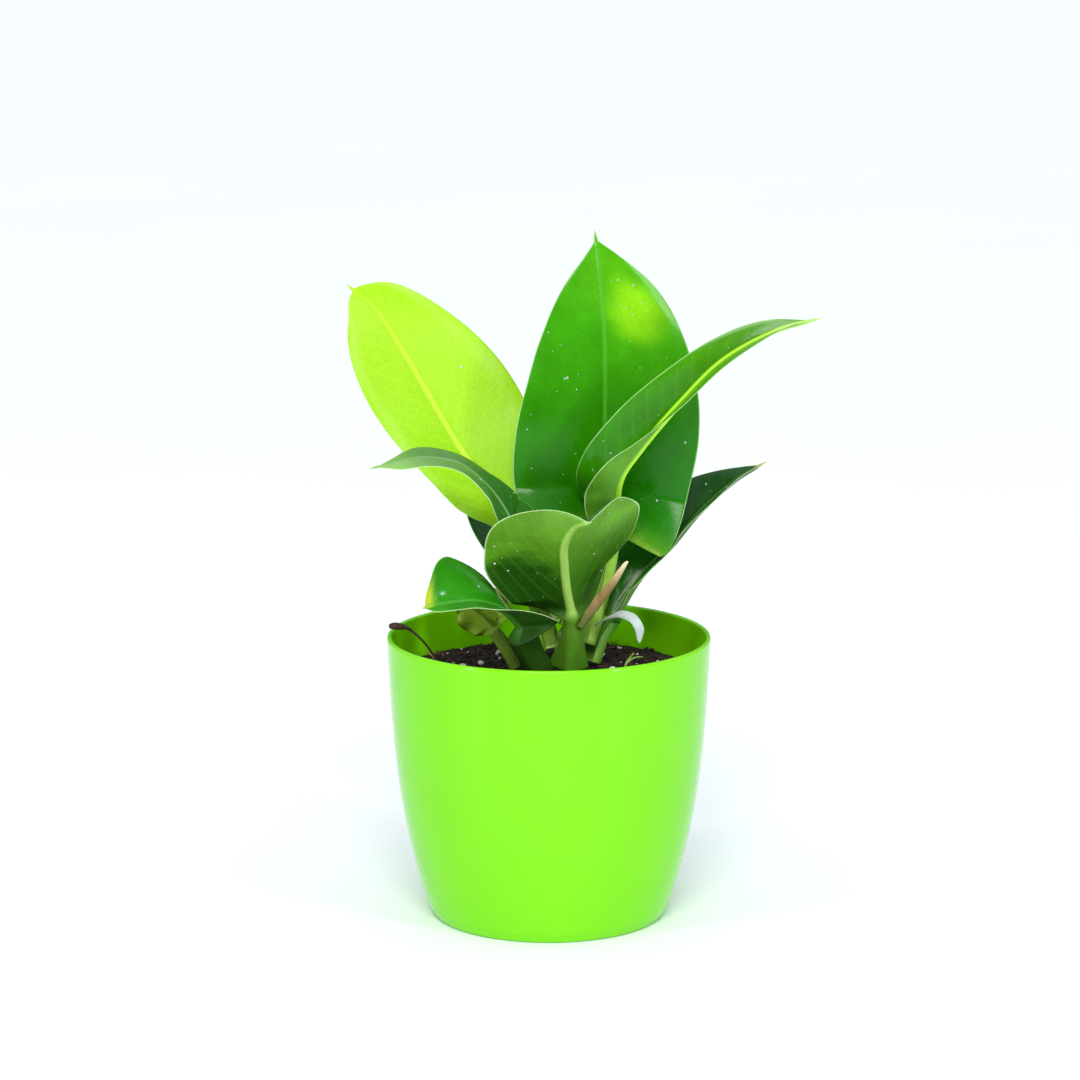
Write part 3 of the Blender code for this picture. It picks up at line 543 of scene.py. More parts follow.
def leafFinish(name, look):
    # living leaf blade: waxy cuticle over green tissue; pale veins, margin and midrib, faint cell grain
    material, tree = newMaterial(name)
    coords = addNode(tree, "ShaderNodeTexCoord")
    paint = readAttribute(tree, "leafPaint")
    ribColour = readAttribute(tree, "ribPaint")
    ribMm = readAttribute(tree, "ribMm")
    edgeMm = readAttribute(tree, "edgeMm")
    phase = readAttribute(tree, "veinPhase")
    fade = readAttribute(tree, "veinFade")
    glow = readAttribute(tree, "ribGlow")

    cloud = noiseNode(tree, coords, 60.0, 4.0)
    grain = noiseNode(tree, coords, 900.0, 2.0)
    shade = remapNode(tree, cloud.outputs["Fac"], 0.3, 0.7, 1 - look["cloud"], 1 + look["cloud"])
    speckle = remapNode(tree, grain.outputs["Fac"], 0.3, 0.7, 0.93, 1.07)
    both = mathNode(tree, "MULTIPLY", shade.outputs["Result"], speckle.outputs["Result"])
    tissue = scaleNode(tree, paint.outputs["Color"], both.outputs[0])

    # side veins: thin lines every vein spacing
    wobble = mathNode(tree, "MULTIPLY_ADD", cloud.outputs["Fac"], 0.12, phase.outputs["Fac"])
    saw = mathNode(tree, "PINGPONG", wobble.outputs[0], 0.5)
    line = remapNode(tree, saw.outputs[0], 0.0, look["veinWidth"], look["veinMix"], 0.0, smooth=True)
    veinMask = mathNode(tree, "MULTIPLY", line.outputs["Result"], fade.outputs["Fac"])
    # finer veins between them
    fine = mathNode(tree, "MULTIPLY", wobble.outputs[0], 5.0)
    fineSaw = mathNode(tree, "PINGPONG", fine.outputs[0], 0.5)
    fineLine = remapNode(tree, fineSaw.outputs[0], 0.0, 0.3, look["veinMix"] * 0.3, 0.0, smooth=True)
    fineMask = mathNode(tree, "MULTIPLY", fineLine.outputs["Result"], fade.outputs["Fac"])
    allVeins = mathNode(tree, "MAXIMUM", veinMask.outputs[0], fineMask.outputs[0])
    veined = mixNode(tree, allVeins.outputs[0], tissue.outputs[0], ribColour.outputs["Color"])

    # midrib
    away = mathNode(tree, "ABSOLUTE", ribMm.outputs["Fac"])
    ribWidth = look["ribWidth"]
    ribLine = remapNode(tree, away.outputs[0], ribWidth * 0.45, ribWidth, 1.0, 0.0, smooth=True)
    ribMask = mathNode(tree, "MULTIPLY", ribLine.outputs["Result"], glow.outputs["Fac"])
    ribbed = mixNode(tree, ribMask.outputs[0], veined.outputs[2], ribColour.outputs["Color"])

    # margin: a thin clear rim
    rim = remapNode(tree, edgeMm.outputs["Fac"], 0.12, look["rimWidth"], look["rimMix"], 0.0, smooth=True)
    rimmed = mixNode(tree, rim.outputs["Result"], ribbed.outputs[2], rgba(look["rimColour"]))

    cells = addNode(tree, "ShaderNodeTexVoronoi", {"Vector": coords.outputs["Object"], "Scale": 1100.0})
    relief = mathNode(tree, "MULTIPLY_ADD", cells.outputs["Distance"], 0.35, cloud.outputs["Fac"])
    sunk = mathNode(tree, "MULTIPLY_ADD", allVeins.outputs[0], -0.8, relief.outputs[0])
    bump = bumpNode(tree, look["bump"], 0.0005, sunk.outputs[0])
    roughness = look["roughness"]
    gloss = remapNode(tree, cloud.outputs["Fac"], 0.3, 0.7, roughness - 0.05, roughness + 0.06)
    shader = addNode(tree, "ShaderNodeBsdfPrincipled", {
        "Base Color": rimmed.outputs[2], "Roughness": gloss.outputs["Result"], "IOR": 1.45,
        "Specular IOR Level": 0.24, "Normal": bump.outputs["Normal"]})
    finishMaterial(tree, shader)
    return material


leafLooks = {
    "young": {
        "cloud": 0.03, "veinWidth": 0.16, "veinMix": 0.14, "ribWidth": 1.5, "rimWidth": 0.4,
        "rimMix": 0.2, "rimColour": "C4E870", "bump": 0.08, "roughness": 0.34,
    },
    "glossy": {
        "cloud": 0.12, "veinWidth": 0.16, "veinMix": 0.05, "ribWidth": 1.1, "rimWidth": 0.45,
        "rimMix": 0.5, "rimColour": "A4CC74", "bump": 0.1, "roughness": 0.17,
    },
    "dull": {
        "cloud": 0.14, "veinWidth": 0.12, "veinMix": 0.2, "ribWidth": 1.2, "rimWidth": 0.8,
        "rimMix": 0.7, "rimColour": "7A5A24", "bump": 0.5, "roughness": 0.5,
    },
    "youngUnder": {
        "cloud": 0.04, "veinWidth": 0.12, "veinMix": 0.25, "ribWidth": 1.9, "rimWidth": 0.5,
        "rimMix": 0.35, "rimColour": "D8F890", "bump": 0.3, "roughness": 0.45,
    },
    "glossyUnder": {
        "cloud": 0.2, "veinWidth": 0.16, "veinMix": 0.07, "ribWidth": 1.9, "rimWidth": 0.6,
        "rimMix": 0.8, "rimColour": "C4DCA0", "bump": 0.4, "roughness": 0.42,
    },
    "dullUnder": {
        "cloud": 0.14, "veinWidth": 0.12, "veinMix": 0.2, "ribWidth": 1.4, "rimWidth": 0.9,
        "rimMix": 0.7, "rimColour": "7A5A24", "bump": 0.5, "roughness": 0.5,
    },
}
leafMaterials = {name: leafFinish(name + "LeafSkin", look) for name, look in leafLooks.items()}


def closedTube(rings):  # rings of points, joined and closed by a point at each end, which come last
    rows, size = rings.shape[:2]
    points = rings.reshape(-1, 3).tolist() + [rings[0].mean(0).tolist(), rings[-1].mean(0).tolist()]
    after = [(k + 1) % size for k in range(size)]
    faces = [(i * size + k, i * size + after[k], (i + 1) * size + after[k], (i + 1) * size + k)
             for i in range(rows - 1) for k in range(size)]
    last = (rows - 1) * size
    faces += [(after[k], k, len(points) - 2) for k in range(size)]
    faces += [(last + k, last + after[k], len(points) - 1) for k in range(size)]
    return points, faces


def makeLeaf(name, leaf):
    upper, lower, values = leafSkins(leaf)
    rows, wide = upper.shape[:2]
    # a ring of points round each row: upper face, right rim, lower face backwards, left rim
    right = (upper[:, -1] + lower[:, -1]) / 2
    left = (upper[:, 0] + lower[:, 0]) / 2
    out = unit(upper[:, -1] - upper[:, -2] + 1e-9) * 0.12
    back = unit(upper[:, 0] - upper[:, 1] + 1e-9) * 0.12
    rings = np.concatenate([upper, (right + out)[:, None], lower[:, ::-1], (left + back)[:, None]], 1)
    size = rings.shape[1]
    points, faces = closedTube(rings)
    faceMaterials = [0 if k < wide else 1 for _ in range(rows - 1) for k in range(size)] + [1] * (2 * size)
    skins = [leafMaterials[leaf["finish"]], leafMaterials[leaf["finish"] + "Under"]]
    piece = newPiece(name, points, faces, skins, faceMaterials)

    def around(grid, underGrid=None):  # spread a value over the ring points and the two end points
        underGrid = grid if underGrid is None else underGrid
        ring = np.concatenate([grid, grid[:, -1:], underGrid[:, ::-1], grid[:, :1]], 1)
        flat = ring.reshape(-1, *ring.shape[2:])
        return np.concatenate([flat, flat[:1], flat[-1:]], 0)

    paint = paintLeaf(leaf, values, False).reshape(rows, wide, 4)
    paintUnder = paintLeaf(leaf, values, True).reshape(rows, wide, 4)
    setValues(piece, "leafPaint", around(paint, paintUnder))
    glow = smoothCurve(leaf["ribGlow"], values["u"].ravel()).reshape(rows, wide) * values["onBlade"]
    setValues(piece, "ribGlow", around(glow))
    setValues(piece, "ribMm", around(values["ribMm"]))
    setValues(piece, "edgeMm", around(values["edgeMm"] + 3 * (1 - values["onBlade"])))
    setValues(piece, "veinPhase", around(values["phase"]))
    setValues(piece, "veinFade", around(values["fade"]))
    ribPaint = np.tile(np.array(rgba(leaf["rib"])), (len(points), 1))
    setValues(piece, "ribPaint", ribPaint)
    place(piece, leaf["slot"], leaf["node"])
    return upper, lower, values


leafSurfaces = {}
for leafName, leafData in leaves.items():
    leafSurfaces[leafName] = makeLeaf(leafName, {**leafDefaults, **leafData})
print("leaves made:", len(leafSurfaces))


# bud scales

budScales = {
    "tanBudScale": {
        "node": "bud_scale_tan", "slot": "bud_scale_tan",
        "path": [(12.5, -14, 118.5), (18, -14, 126), (25.5, -14, 136.5), (30.5, -14, 145.5)],
        "halfWidth": [2.0, 3.3, 2.6, 0.9], "face": (-0.6, 0.6, 0.5), "thickness": 0.7,
        "colours": ["5E7A30", "8E7844", "A08450", "E8D8AC"],
    },
    "whiteBudScale": {
        "node": "bud_scale_white", "slot": "bud_scale_white",
        "path": [(18, -10.5, 119), (24, -12, 122.5), (30, -13, 123), (34.5, -13.5, 119),
                 (35.5, -13.5, 112.5)],
        "halfWidth": [0.5, 0.7, 2.4, 2.4, 0.5], "face": (0.2, -0.5, 0.8), "thickness": 0.4,
        "colours": ["6E8460", "94A090", "BCC8C2", "D0DAD8"],
    },
    "smallBudScale": {
        "node": "bud_scale_small", "slot": "bud_scale_tan",
        "path": [(-18, -9, 133), (-21, -9, 137), (-25, -9, 142)],
        "halfWidth": [1.2, 1.6, 0.8], "face": (-0.4, 0.6, 0.6), "thickness": 0.5,
        "colours": ["7A6A34", "9A7A44", "A88450"],
    },
}


def papery(name, roughness):
    # dried bud scale: thin papery tissue with fibres along it, dull, paler at the tip
    material, tree = newMaterial(name)
    coords = addNode(tree, "ShaderNodeTexCoord")
    paint = readAttribute(tree, "leafPaint")
    across = readAttribute(tree, "ribMm")
    fibres = addNode(tree, "ShaderNodeTexNoise", {"W": across.outputs["Fac"], "Scale": 6.0, "Detail": 3.0},
                     noise_dimensions="1D")
    cloud = noiseNode(tree, coords, 300.0, 3.0)
    total = mathNode(tree, "ADD", fibres.outputs["Fac"], cloud.outputs["Fac"])
    shade = remapNode(tree, total.outputs[0], 0.7, 1.3, 0.72, 1.2)
    tint = scaleNode(tree, paint.outputs["Color"], shade.outputs["Result"])
    bump = bumpNode(tree, 0.5, 0.0003, total.outputs[0])
    shader = addNode(tree, "ShaderNodeBsdfPrincipled", {
        "Base Color": tint.outputs[0], "Roughness": roughness, "Normal": bump.outputs["Normal"]})
    finishMaterial(tree, shader)
    return material


paperyScale = papery("driedScaleTissue", 0.62)


def makeBudScale(name, scale):
    rows, half = 46, 8
    total = pathLength(scale["path"], len(scale["path"]) - 1)
    along = np.linspace(0, 1, rows)
    centre, _, normal, right = pathFrames(scale["path"], total * along, [scale["face"], scale["face"]])
    width = smoothCurve(scale["halfWidth"], along)[:, 0]
    width *= np.sqrt(np.clip(1 - np.clip((along - 0.93) / 0.072, 0, 1) ** 2, 0.02, 1))
    share = np.linspace(-1, 1, 2 * half + 1)
    crinkle = 0.12 * np.sin(along * 31 + 1.3)[:, None] * share[None, :] ** 2
    rise = 0.45 * share[None, :] ** 2 * width[:, None] + crinkle * width[:, None] * 0.5
    across = width[:, None] * share
    upper = centre[:, None] + right[:, None] * across[..., None] + normal[:, None] * rise[..., None]
    depth = scale["thickness"] * (0.35 + 0.65 * (1 - share**2))
    lower = upper - normal[:, None] * np.broadcast_to(depth, rise.shape)[..., None]
    rings = np.concatenate([upper, lower[:, ::-1]], 1)
    size = rings.shape[1]
    piece = newPiece(name, *closedTube(rings), [paperyScale])
    colours = smoothCurve([linear(c) for c in scale["colours"]], along)
    paint = np.repeat(np.c_[colours, np.ones(rows)][:, None], size, 1).reshape(-1, 4)
    ribMm = np.concatenate([across, across[:, ::-1]], 1).ravel()
    setValues(piece, "leafPaint", np.clip(np.r_[paint, paint[:1], paint[-1:]], 0, 1))
    setValues(piece, "ribMm", np.r_[ribMm, 0, 0])
    place(piece, scale["slot"], scale["node"])


for scaleName, scaleData in budScales.items():
    makeBudScale(scaleName, scaleData)
print("bud scales made")


# geometry node trees

def newTree(name, sizes):  # a tree with geometry in and out and named number inputs
    tree = bpy.data.node_groups.new(name, "GeometryNodeTree")
    tree.interface.new_socket("Geometry", in_out="INPUT", socket_type="NodeSocketGeometry")
    tree.interface.new_socket("Geometry", in_out="OUTPUT", socket_type="NodeSocketGeometry")
    ids = {}
    for key, value in sizes.items():
        kind = "NodeSocketInt" if isinstance(value, int) else "NodeSocketFloat"
        socket = tree.interface.new_socket(key, in_out="INPUT", socket_type=kind)
        socket.default_value = value
        ids[key] = socket.identifier
    source = addNode(tree, "NodeGroupInput")
    return tree, ids, source


def closeTree(tree, geometry, material):
    real = addNode(tree, "GeometryNodeRealizeInstances", {0: geometry})
    dressed = addNode(tree, "GeometryNodeSetMaterial", {"Geometry": real.outputs[0], "Material": material})
    addNode(tree, "NodeGroupOutput", {0: dressed.outputs[0]})


def namedValue(tree, name):  # a value stored on the points
    return addNode(tree, "GeometryNodeInputNamedAttribute", {"Name": name}, data_type="FLOAT")


def spotsOnFaces(tree, source, density, chosen=None):
    inputs = {"Mesh": source.outputs["Geometry"], "Density": density, "Seed": source.outputs["Seed"]}
    if chosen:
        inputs["Selection"] = chosen.outputs["Attribute"]
    return addNode(tree, "GeometryNodeDistributePointsOnFaces", inputs)


def grow(name, source, tree, ids, sizes, smooth=True):  # run a tree on a source, keep its plain mesh
    modifier = source.modifiers.new(name, "NODES")
    modifier.node_group = tree
    for key, value in sizes.items():
        modifier[ids[key]] = value
    mesh = bpy.data.meshes.new_from_object(source.evaluated_get(bpy.context.evaluated_depsgraph_get()))
    source.modifiers.remove(modifier)
    mesh.name = name
    if smooth:
        mesh.shade_smooth()
    piece = bpy.data.objects.new(name, mesh)
    bpy.context.scene.collection.objects.link(piece)
    return piece


# potting mix

mix = {
    "edgeHeight": 96.2, "mound": 2.8, "rings": 64, "segments": 200, "lumps": 1.8,
    "gap": 0.3, "lumpScale": 0.16, "bareRim": 3, "skirt": [(0.4, 8), (2.5, 24)],  # skirt: inset, depth
    "crumbs": 5200, "crumbSize": 0.0011, "fibres": 420, "fibreSize": 0.0055, "seed": 7,
}


def mixTop(radius):
    edge = potRadius(mix["edgeHeight"]) - pot["wall"]
    return mix["edgeHeight"] + mix["mound"] * (1 - (radius / edge) ** 2)


def peatFinish(name, dark, light, roughness):
    # damp peat and coir: nearly black brown, matt, with red-brown fibre showing
    material, tree = newMaterial(name)
    coords = addNode(tree, "ShaderNodeTexCoord")
    lumps = noiseNode(tree, coords, 420.0, 5.0)
    colour = rampNode(tree, lumps.outputs["Fac"], 0.38, dark, 0.66, light)
    bump = bumpNode(tree, 0.8, 0.0006, lumps.outputs["Fac"])
    shader = addNode(tree, "ShaderNodeBsdfPrincipled", {
        "Base Color": colour.outputs["Color"], "Roughness": roughness, "Normal": bump.outputs["Normal"]})
    finishMaterial(tree, shader)
    return material


dampPeat = peatFinish("dampPeat", "080403", "1E120C", 0.95)
peatCrumb = peatFinish("peatCrumb", "0E0805", "341F12", 0.9)
coirFibre = peatFinish("coirFibre", "3C2014", "8A5A34", 0.7)


def makeMix():
    edge = potRadius(mix["edgeHeight"]) - pot["wall"] - mix["gap"]
    radii = np.linspace(0, edge, mix["rings"] + 1)[1:]
    angles = np.linspace(0, 2 * math.pi, mix["segments"], endpoint=False)
    points = [(0, 0, mixTop(0))]
    for radius in radii:
        for angle in angles:
            x, y = radius * math.cos(angle), radius * math.sin(angle)
            lump = noise.fractal(Vector((x * mix["lumpScale"], y * mix["lumpScale"], 3.1)), 1.0, 2.0, 4)
            points.append((x, y, mixTop(radius) + mix["lumps"] * lump * min(1, (edge - radius) / 3 + 0.3)))
    topCount = len(points)
    for inset, depth in mix["skirt"]:
        radius, height = edge - inset, mix["edgeHeight"] - depth
        points += [(radius * math.cos(a), radius * math.sin(a), height) for a in angles]
    points.append((0, 0, height))
    count = mix["segments"]
    faces = [(0, 1 + s, 1 + (s + 1) % count) for s in range(count)]
    for k in range(mix["rings"] + 1):
        a, b = 1 + k * count, 1 + (k + 1) * count
        faces += [(a + s, b + s, b + (s + 1) % count, a + (s + 1) % count) for s in range(count)]
    lastRing = 1 + (mix["rings"] + 1) * count
    faces += [(len(points) - 1, lastRing + (s + 1) % count, lastRing + s) for s in range(count)]
    bed = newPiece("pottingMixBed", points, faces, [dampPeat])
    spread = np.hypot(*np.array(points)[:, :2].T)
    onTop = ((np.arange(len(points)) < topCount) & (spread < edge - mix["bareRim"])).astype(np.float32)
    setValues(bed, "onTop", onTop)

    # crumbs: small angular lumps
    tree, ids, source = newTree("crumbScatter", {"Crumbs per m2": 400000.0, "Crumb size": 0.001, "Seed": 1})
    top = namedValue(tree, "onTop")
    spots = spotsOnFaces(tree, source, source.outputs["Crumbs per m2"], top)
    lump = addNode(tree, "GeometryNodeMeshIcoSphere", {
        "Radius": source.outputs["Crumb size"], "Subdivisions": 1})
    turn = addNode(tree, "FunctionNodeRandomValue", {
        0: (0, 0, 0), 1: (6.28, 6.28, 6.28), "Seed": source.outputs["Seed"]}, data_type="FLOAT_VECTOR")
    size = addNode(tree, "FunctionNodeRandomValue", {
        0: (0.25, 0.3, 0.2), 1: (1.5, 1.1, 0.9), "Seed": 11}, data_type="FLOAT_VECTOR")
    onPoints = addNode(tree, "GeometryNodeInstanceOnPoints", {
        "Points": spots.outputs["Points"], "Instance": lump.outputs["Mesh"],
        "Rotation": turn.outputs["Value"], "Scale": size.outputs["Value"]})
    closeTree(tree, onPoints.outputs["Instances"], peatCrumb)
    area = math.pi * (edge * mm) ** 2
    crumbs = grow("peatCrumbs", bed, tree, ids, {
        "Crumbs per m2": mix["crumbs"] / area, "Crumb size": mix["crumbSize"],
        "Seed": mix["seed"]}, smooth=False)

    # fibres: short bent hairs lying on the mix
    tree, ids, source = newTree("fibreScatter", {
        "Fibres per m2": 30000.0, "Fibre length": 0.006, "Fibre radius": 0.00014, "Seed": 1})
    top = namedValue(tree, "onTop")
    spots = spotsOnFaces(tree, source, source.outputs["Fibres per m2"], top)
    bend = addNode(tree, "GeometryNodeCurveQuadraticBezier", {
        "Resolution": 7, "Start": (-0.5, 0.0, 0.0), "Middle": (0.0, 0.28, 0.16), "End": (0.5, -0.1, 0.05)})
    ring = addNode(tree, "GeometryNodeCurvePrimitiveCircle", {"Resolution": 4, "Radius": 0.022})
    hair = addNode(tree, "GeometryNodeCurveToMesh", {
        "Curve": bend.outputs[0], "Profile Curve": ring.outputs["Curve"], "Fill Caps": True})
    turn = addNode(tree, "FunctionNodeRandomValue", {
        0: (-0.5, -0.5, 0), 1: (0.5, 0.5, 6.28), "Seed": source.outputs["Seed"]}, data_type="FLOAT_VECTOR")
    size = addNode(tree, "FunctionNodeRandomValue", {2: 0.4, 3: 1.5, "Seed": 12}, data_type="FLOAT")
    long = mathNode(tree, "MULTIPLY", size.outputs[1], source.outputs["Fibre length"])
    onPoints = addNode(tree, "GeometryNodeInstanceOnPoints", {
        "Points": spots.outputs["Points"], "Instance": hair.outputs["Mesh"],
        "Rotation": turn.outputs["Value"], "Scale": long.outputs[0]})
    closeTree(tree, onPoints.outputs["Instances"], coirFibre)
    fibres = grow("coirFibres", bed, tree, ids, {
        "Fibres per m2": mix["fibres"] / area, "Fibre length": mix["fibreSize"], "Seed": mix["seed"] + 3})
    bed.data.attributes.remove(bed.data.attributes["onTop"])
    place(bed, "potting_mix", "soil")
    place(crumbs, "potting_mix")
    place(fibres, "potting_mix")


makeMix()
print("potting mix made")


# crown

crown = {
    "at": (7.0, 0.0),
    "profile": [(0, 117), (1.5, 116.5), (3.6, 113), (5.2, 104), (5.4, 92), (3.5, 80), (0, 79)],
}


def crownFinish():
    # green stem skin with pale leaf-scar rings, slightly waxy
    material, tree = newMaterial("crownSkin")
    coords = addNode(tree, "ShaderNodeTexCoord")
    bands = addNode(tree, "ShaderNodeTexWave", {
        "Vector": coords.outputs["Object"], "Scale": 60.0, "Distortion": 4.0, "Detail": 2.0},
        bands_direction="Z")
    colour = mixNode(tree, bands.outputs["Fac"], rgba("4E7A2C"), rgba("8CA860"))
    bump = bumpNode(tree, 0.4, 0.0005, bands.outputs["Fac"])
    shader = addNode(tree, "ShaderNodeBsdfPrincipled", {
        "Base Color": colour.outputs[2], "Roughness": 0.5, "Normal": bump.outputs["Normal"]})
    finishMaterial(tree, shader)
    return material


def makeCrown():
    keys = crown["profile"]
    profile = [keys[0]] + [tuple(p) for p in smoothCurve(keys[1:-1], np.linspace(0, 1, 40))] + [keys[-1]]
    piece = turnProfile("crownStem", [(r, z) for r, z in profile[::-1]], 48, [crownFinish()])
    coords = np.array([v.co for v in piece.data.vertices])
    coords[:, :2] += np.array(crown["at"]) * mm
    piece.data.vertices.foreach_set("co", coords.ravel())
    place(piece, "stem_skin", "stem")


makeCrown()


# strands

strands = {
    "dryTwig": {
        "nodes": ["dry_twig"], "slot": "dark_twig", "colours": ("1E120C", "4A3020"), "roughness": 0.8,
        "runs": [[(-43, 4, 97.6, 0.35), (-46, 4, 104, 0.4), (-50, 2, 110, 0.45), (-55, 0, 115, 0.6),
                  (-58, -1, 116.3, 1.25), (-61, -1.6, 116.7, 1.5), (-63, -2, 116.8, 0.9)]],
    },
    "seedling": {
        "nodes": ["seedling"], "slot": "seedling_green", "colours": ("6E9A34", "B4D070"), "roughness": 0.5,
        "runs": [[(29.5, -2, 98.4, 0.45), (31, -2.5, 102.5, 0.5), (33.5, -3, 106, 0.3)],
                 [(31, -2.5, 102.2, 0.45), (34, -4, 104.5, 0.35), (37, -5, 105, 0.22)]],
    },
    "dryStraws": {
        "nodes": ["straw_1", "straw_2", "straw_3"], "slot": "dry_straw", "colours": ("7A5A2C", "C8A468"),
        "roughness": 0.65,
        "runs": [[(-34, -22, 98.4, 0.4), (-34.5, -22, 102, 0.38), (-34.2, -22, 105.5, 0.25)],
                 [(33, -12, 99.2, 0.35), (38, -13, 101.5, 0.35), (43, -12, 103, 0.22)],
                 [(-44, 10, 98.0, 0.35), (-46, 11, 101, 0.3), (-49, 12, 103.5, 0.2)]],
    },
}


def stalkFinish(name, dark, light, roughness):
    # plant fibre stalk: ridged along its length, dull
    material, tree = newMaterial(name)
    coords = addNode(tree, "ShaderNodeTexCoord")
    streak = noiseNode(tree, coords, 700.0, 4.0)
    colour = rampNode(tree, streak.outputs["Fac"], 0.35, dark, 0.65, light)
    bump = bumpNode(tree, 0.5, 0.0003, streak.outputs["Fac"])
    shader = addNode(tree, "ShaderNodeBsdfPrincipled", {
        "Base Color": colour.outputs["Color"], "Roughness": roughness, "Normal": bump.outputs["Normal"]})
    finishMaterial(tree, shader)
    return material


def makeStrands():
    for name, strand in strands.items():
        points, edges, radii = [], [], []
        for run in strand["runs"]:
            steps = np.linspace(0, 1, 8 * len(run))
            path = smoothCurve([p[:3] for p in run], steps)
            start = len(points)
            points += (path * mm).tolist()
            radii += smoothCurve([p[3] for p in run], steps)[:, 0].tolist()
            edges += [(start + k, start + k + 1) for k in range(len(steps) - 1)]
        mesh = bpy.data.meshes.new(name + "Line")
        mesh.from_pydata(points, edges, [])
        line = bpy.data.objects.new(name + "Line", mesh)
        bpy.context.scene.collection.objects.link(line)
        setValues(line, "thick", np.array(radii))
        tree, ids, source = newTree(name + "Sweep", {"Sides": 10, "Unit": 0.001})
        thick = namedValue(tree, "thick")
        curve = addNode(tree, "GeometryNodeMeshToCurve", {"Mesh": source.outputs["Geometry"]})
        sized = addNode(tree, "GeometryNodeSetCurveRadius", {
            "Curve": curve.outputs[0], "Radius": thick.outputs["Attribute"]})
        ring = addNode(tree, "GeometryNodeCurvePrimitiveCircle", {
            "Resolution": source.outputs["Sides"], "Radius": source.outputs["Unit"]})
        sweepInputs = {"Curve": sized.outputs[0], "Profile Curve": ring.outputs["Curve"], "Fill Caps": True}
        sweep = addNode(tree, "GeometryNodeCurveToMesh", sweepInputs)
        if "Scale" in sweep.inputs:
            tree.links.new(thick.outputs["Attribute"], sweep.inputs["Scale"])
        finish = stalkFinish(name + "Fibre", *strand["colours"], strand["roughness"])
        closeTree(tree, sweep.outputs[0], finish)
        piece = grow(name, line, tree, ids, {"Sides": 10, "Unit": mm})
        bpy.data.objects.remove(line)
        place(piece, strand["slot"], *strand["nodes"])


makeStrands()
print("strands made")


# perlite

perlite = {
    "grains": [(-41, -6, 1.3), (-38, -4, 1.1), (-34, 3, 1.5), (-30, -7, 1.2), (-27, 8, 1.2), (-23, -14, 1.7),
               (25, -6, 1.7), (31, -13, 1.5), (36, -15, 1.0), (21, 22, 1.4), (-8, 34, 1.6), (-20, 26, 1.3)],
    "smallGrains": 46, "spread": 57, "seed": 5, "lift": 0.35,
}


def perliteFinish():
    # expanded perlite: chalky white foam glass, matt, pitted, stained a little by peat
    material, tree = newMaterial("expandedPerlite")
    coords = addNode(tree, "ShaderNodeTexCoord")
    pits = addNode(tree, "ShaderNodeTexVoronoi", {"Vector": coords.outputs["Object"], "Scale": 1800.0})
    stain = noiseNode(tree, coords, 500.0, 3.0)
    mask = remapNode(tree, stain.outputs["Fac"], 0.45, 0.75, 0.0, 0.7)
    colour = mixNode(tree, mask.outputs["Result"], rgba("E6E2DA"), rgba("A08C78"))
    bump = bumpNode(tree, 0.7, 0.0004, pits.outputs["Distance"])
    shader = addNode(tree, "ShaderNodeBsdfPrincipled", {
        "Base Color": colour.outputs[2], "Roughness": 0.85, "Normal": bump.outputs["Normal"]})
    finishMaterial(tree, shader)
    return material


def makePerlite():
    rng = np.random.default_rng(perlite["seed"])
    grains = list(perlite["grains"])
    while len(grains) < len(perlite["grains"]) + perlite["smallGrains"]:
        radius, angle = perlite["spread"] * math.sqrt(rng.random()), 2 * math.pi * rng.random()
        grains.append((radius * math.cos(angle), radius * math.sin(angle), 0.35 + 0.5 * rng.random()))
    bm = bmesh.new()
    for number, (x, y, radius) in enumerate(grains):
        fine = 3 if number < len(perlite["grains"]) else 2
        made = bmesh.ops.create_icosphere(bm, subdivisions=fine, radius=1.0)
        squash = 0.65 + 0.3 * rng.random()
        for vert in made["verts"]:
            d = vert.co.normalized()
            swell = 1 + 0.28 * noise.noise(d * 1.3 + Vector((number * 3.1, 0, 0)))
            swell += 0.10 * noise.noise(d * 3.4 + Vector((0, number * 2.7, 0)))
            vert.co = Vector((d.x, d.y, d.z * squash)) * radius * swell
            vert.co += Vector((x, y, mixTop(math.hypot(x, y)) + radius * squash * 0.7 + perlite["lift"]))
            vert.co *= mm
    mesh = bpy.data.meshes.new("perliteGrains")
    bm.to_mesh(mesh)
    bm.free()
    mesh.materials.append(perliteFinish())
    piece = bpy.data.objects.new("perliteGrains", mesh)
    bpy.context.scene.collection.objects.link(piece)
    place(piece, "perlite", *[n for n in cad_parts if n.startswith("perlite_")])


makePerlite()
print("perlite made")


# water drops on the leaves

drops = {"perM2": 30000.0, "size": 0.00042, "seed": 21}


def waterDrop():
    # water, IOR 1.33 and smooth; partly white, a painted glint, so that drops this small still show
    material, tree = newMaterial("waterWithPaintedGlint")
    shader = addNode(tree, "ShaderNodeBsdfPrincipled", {
        "Base Color": rgba("F4FAFF"), "Roughness": 0.03, "IOR": 1.33, "Transmission Weight": 0.55})
    finishMaterial(tree, shader)
    return material


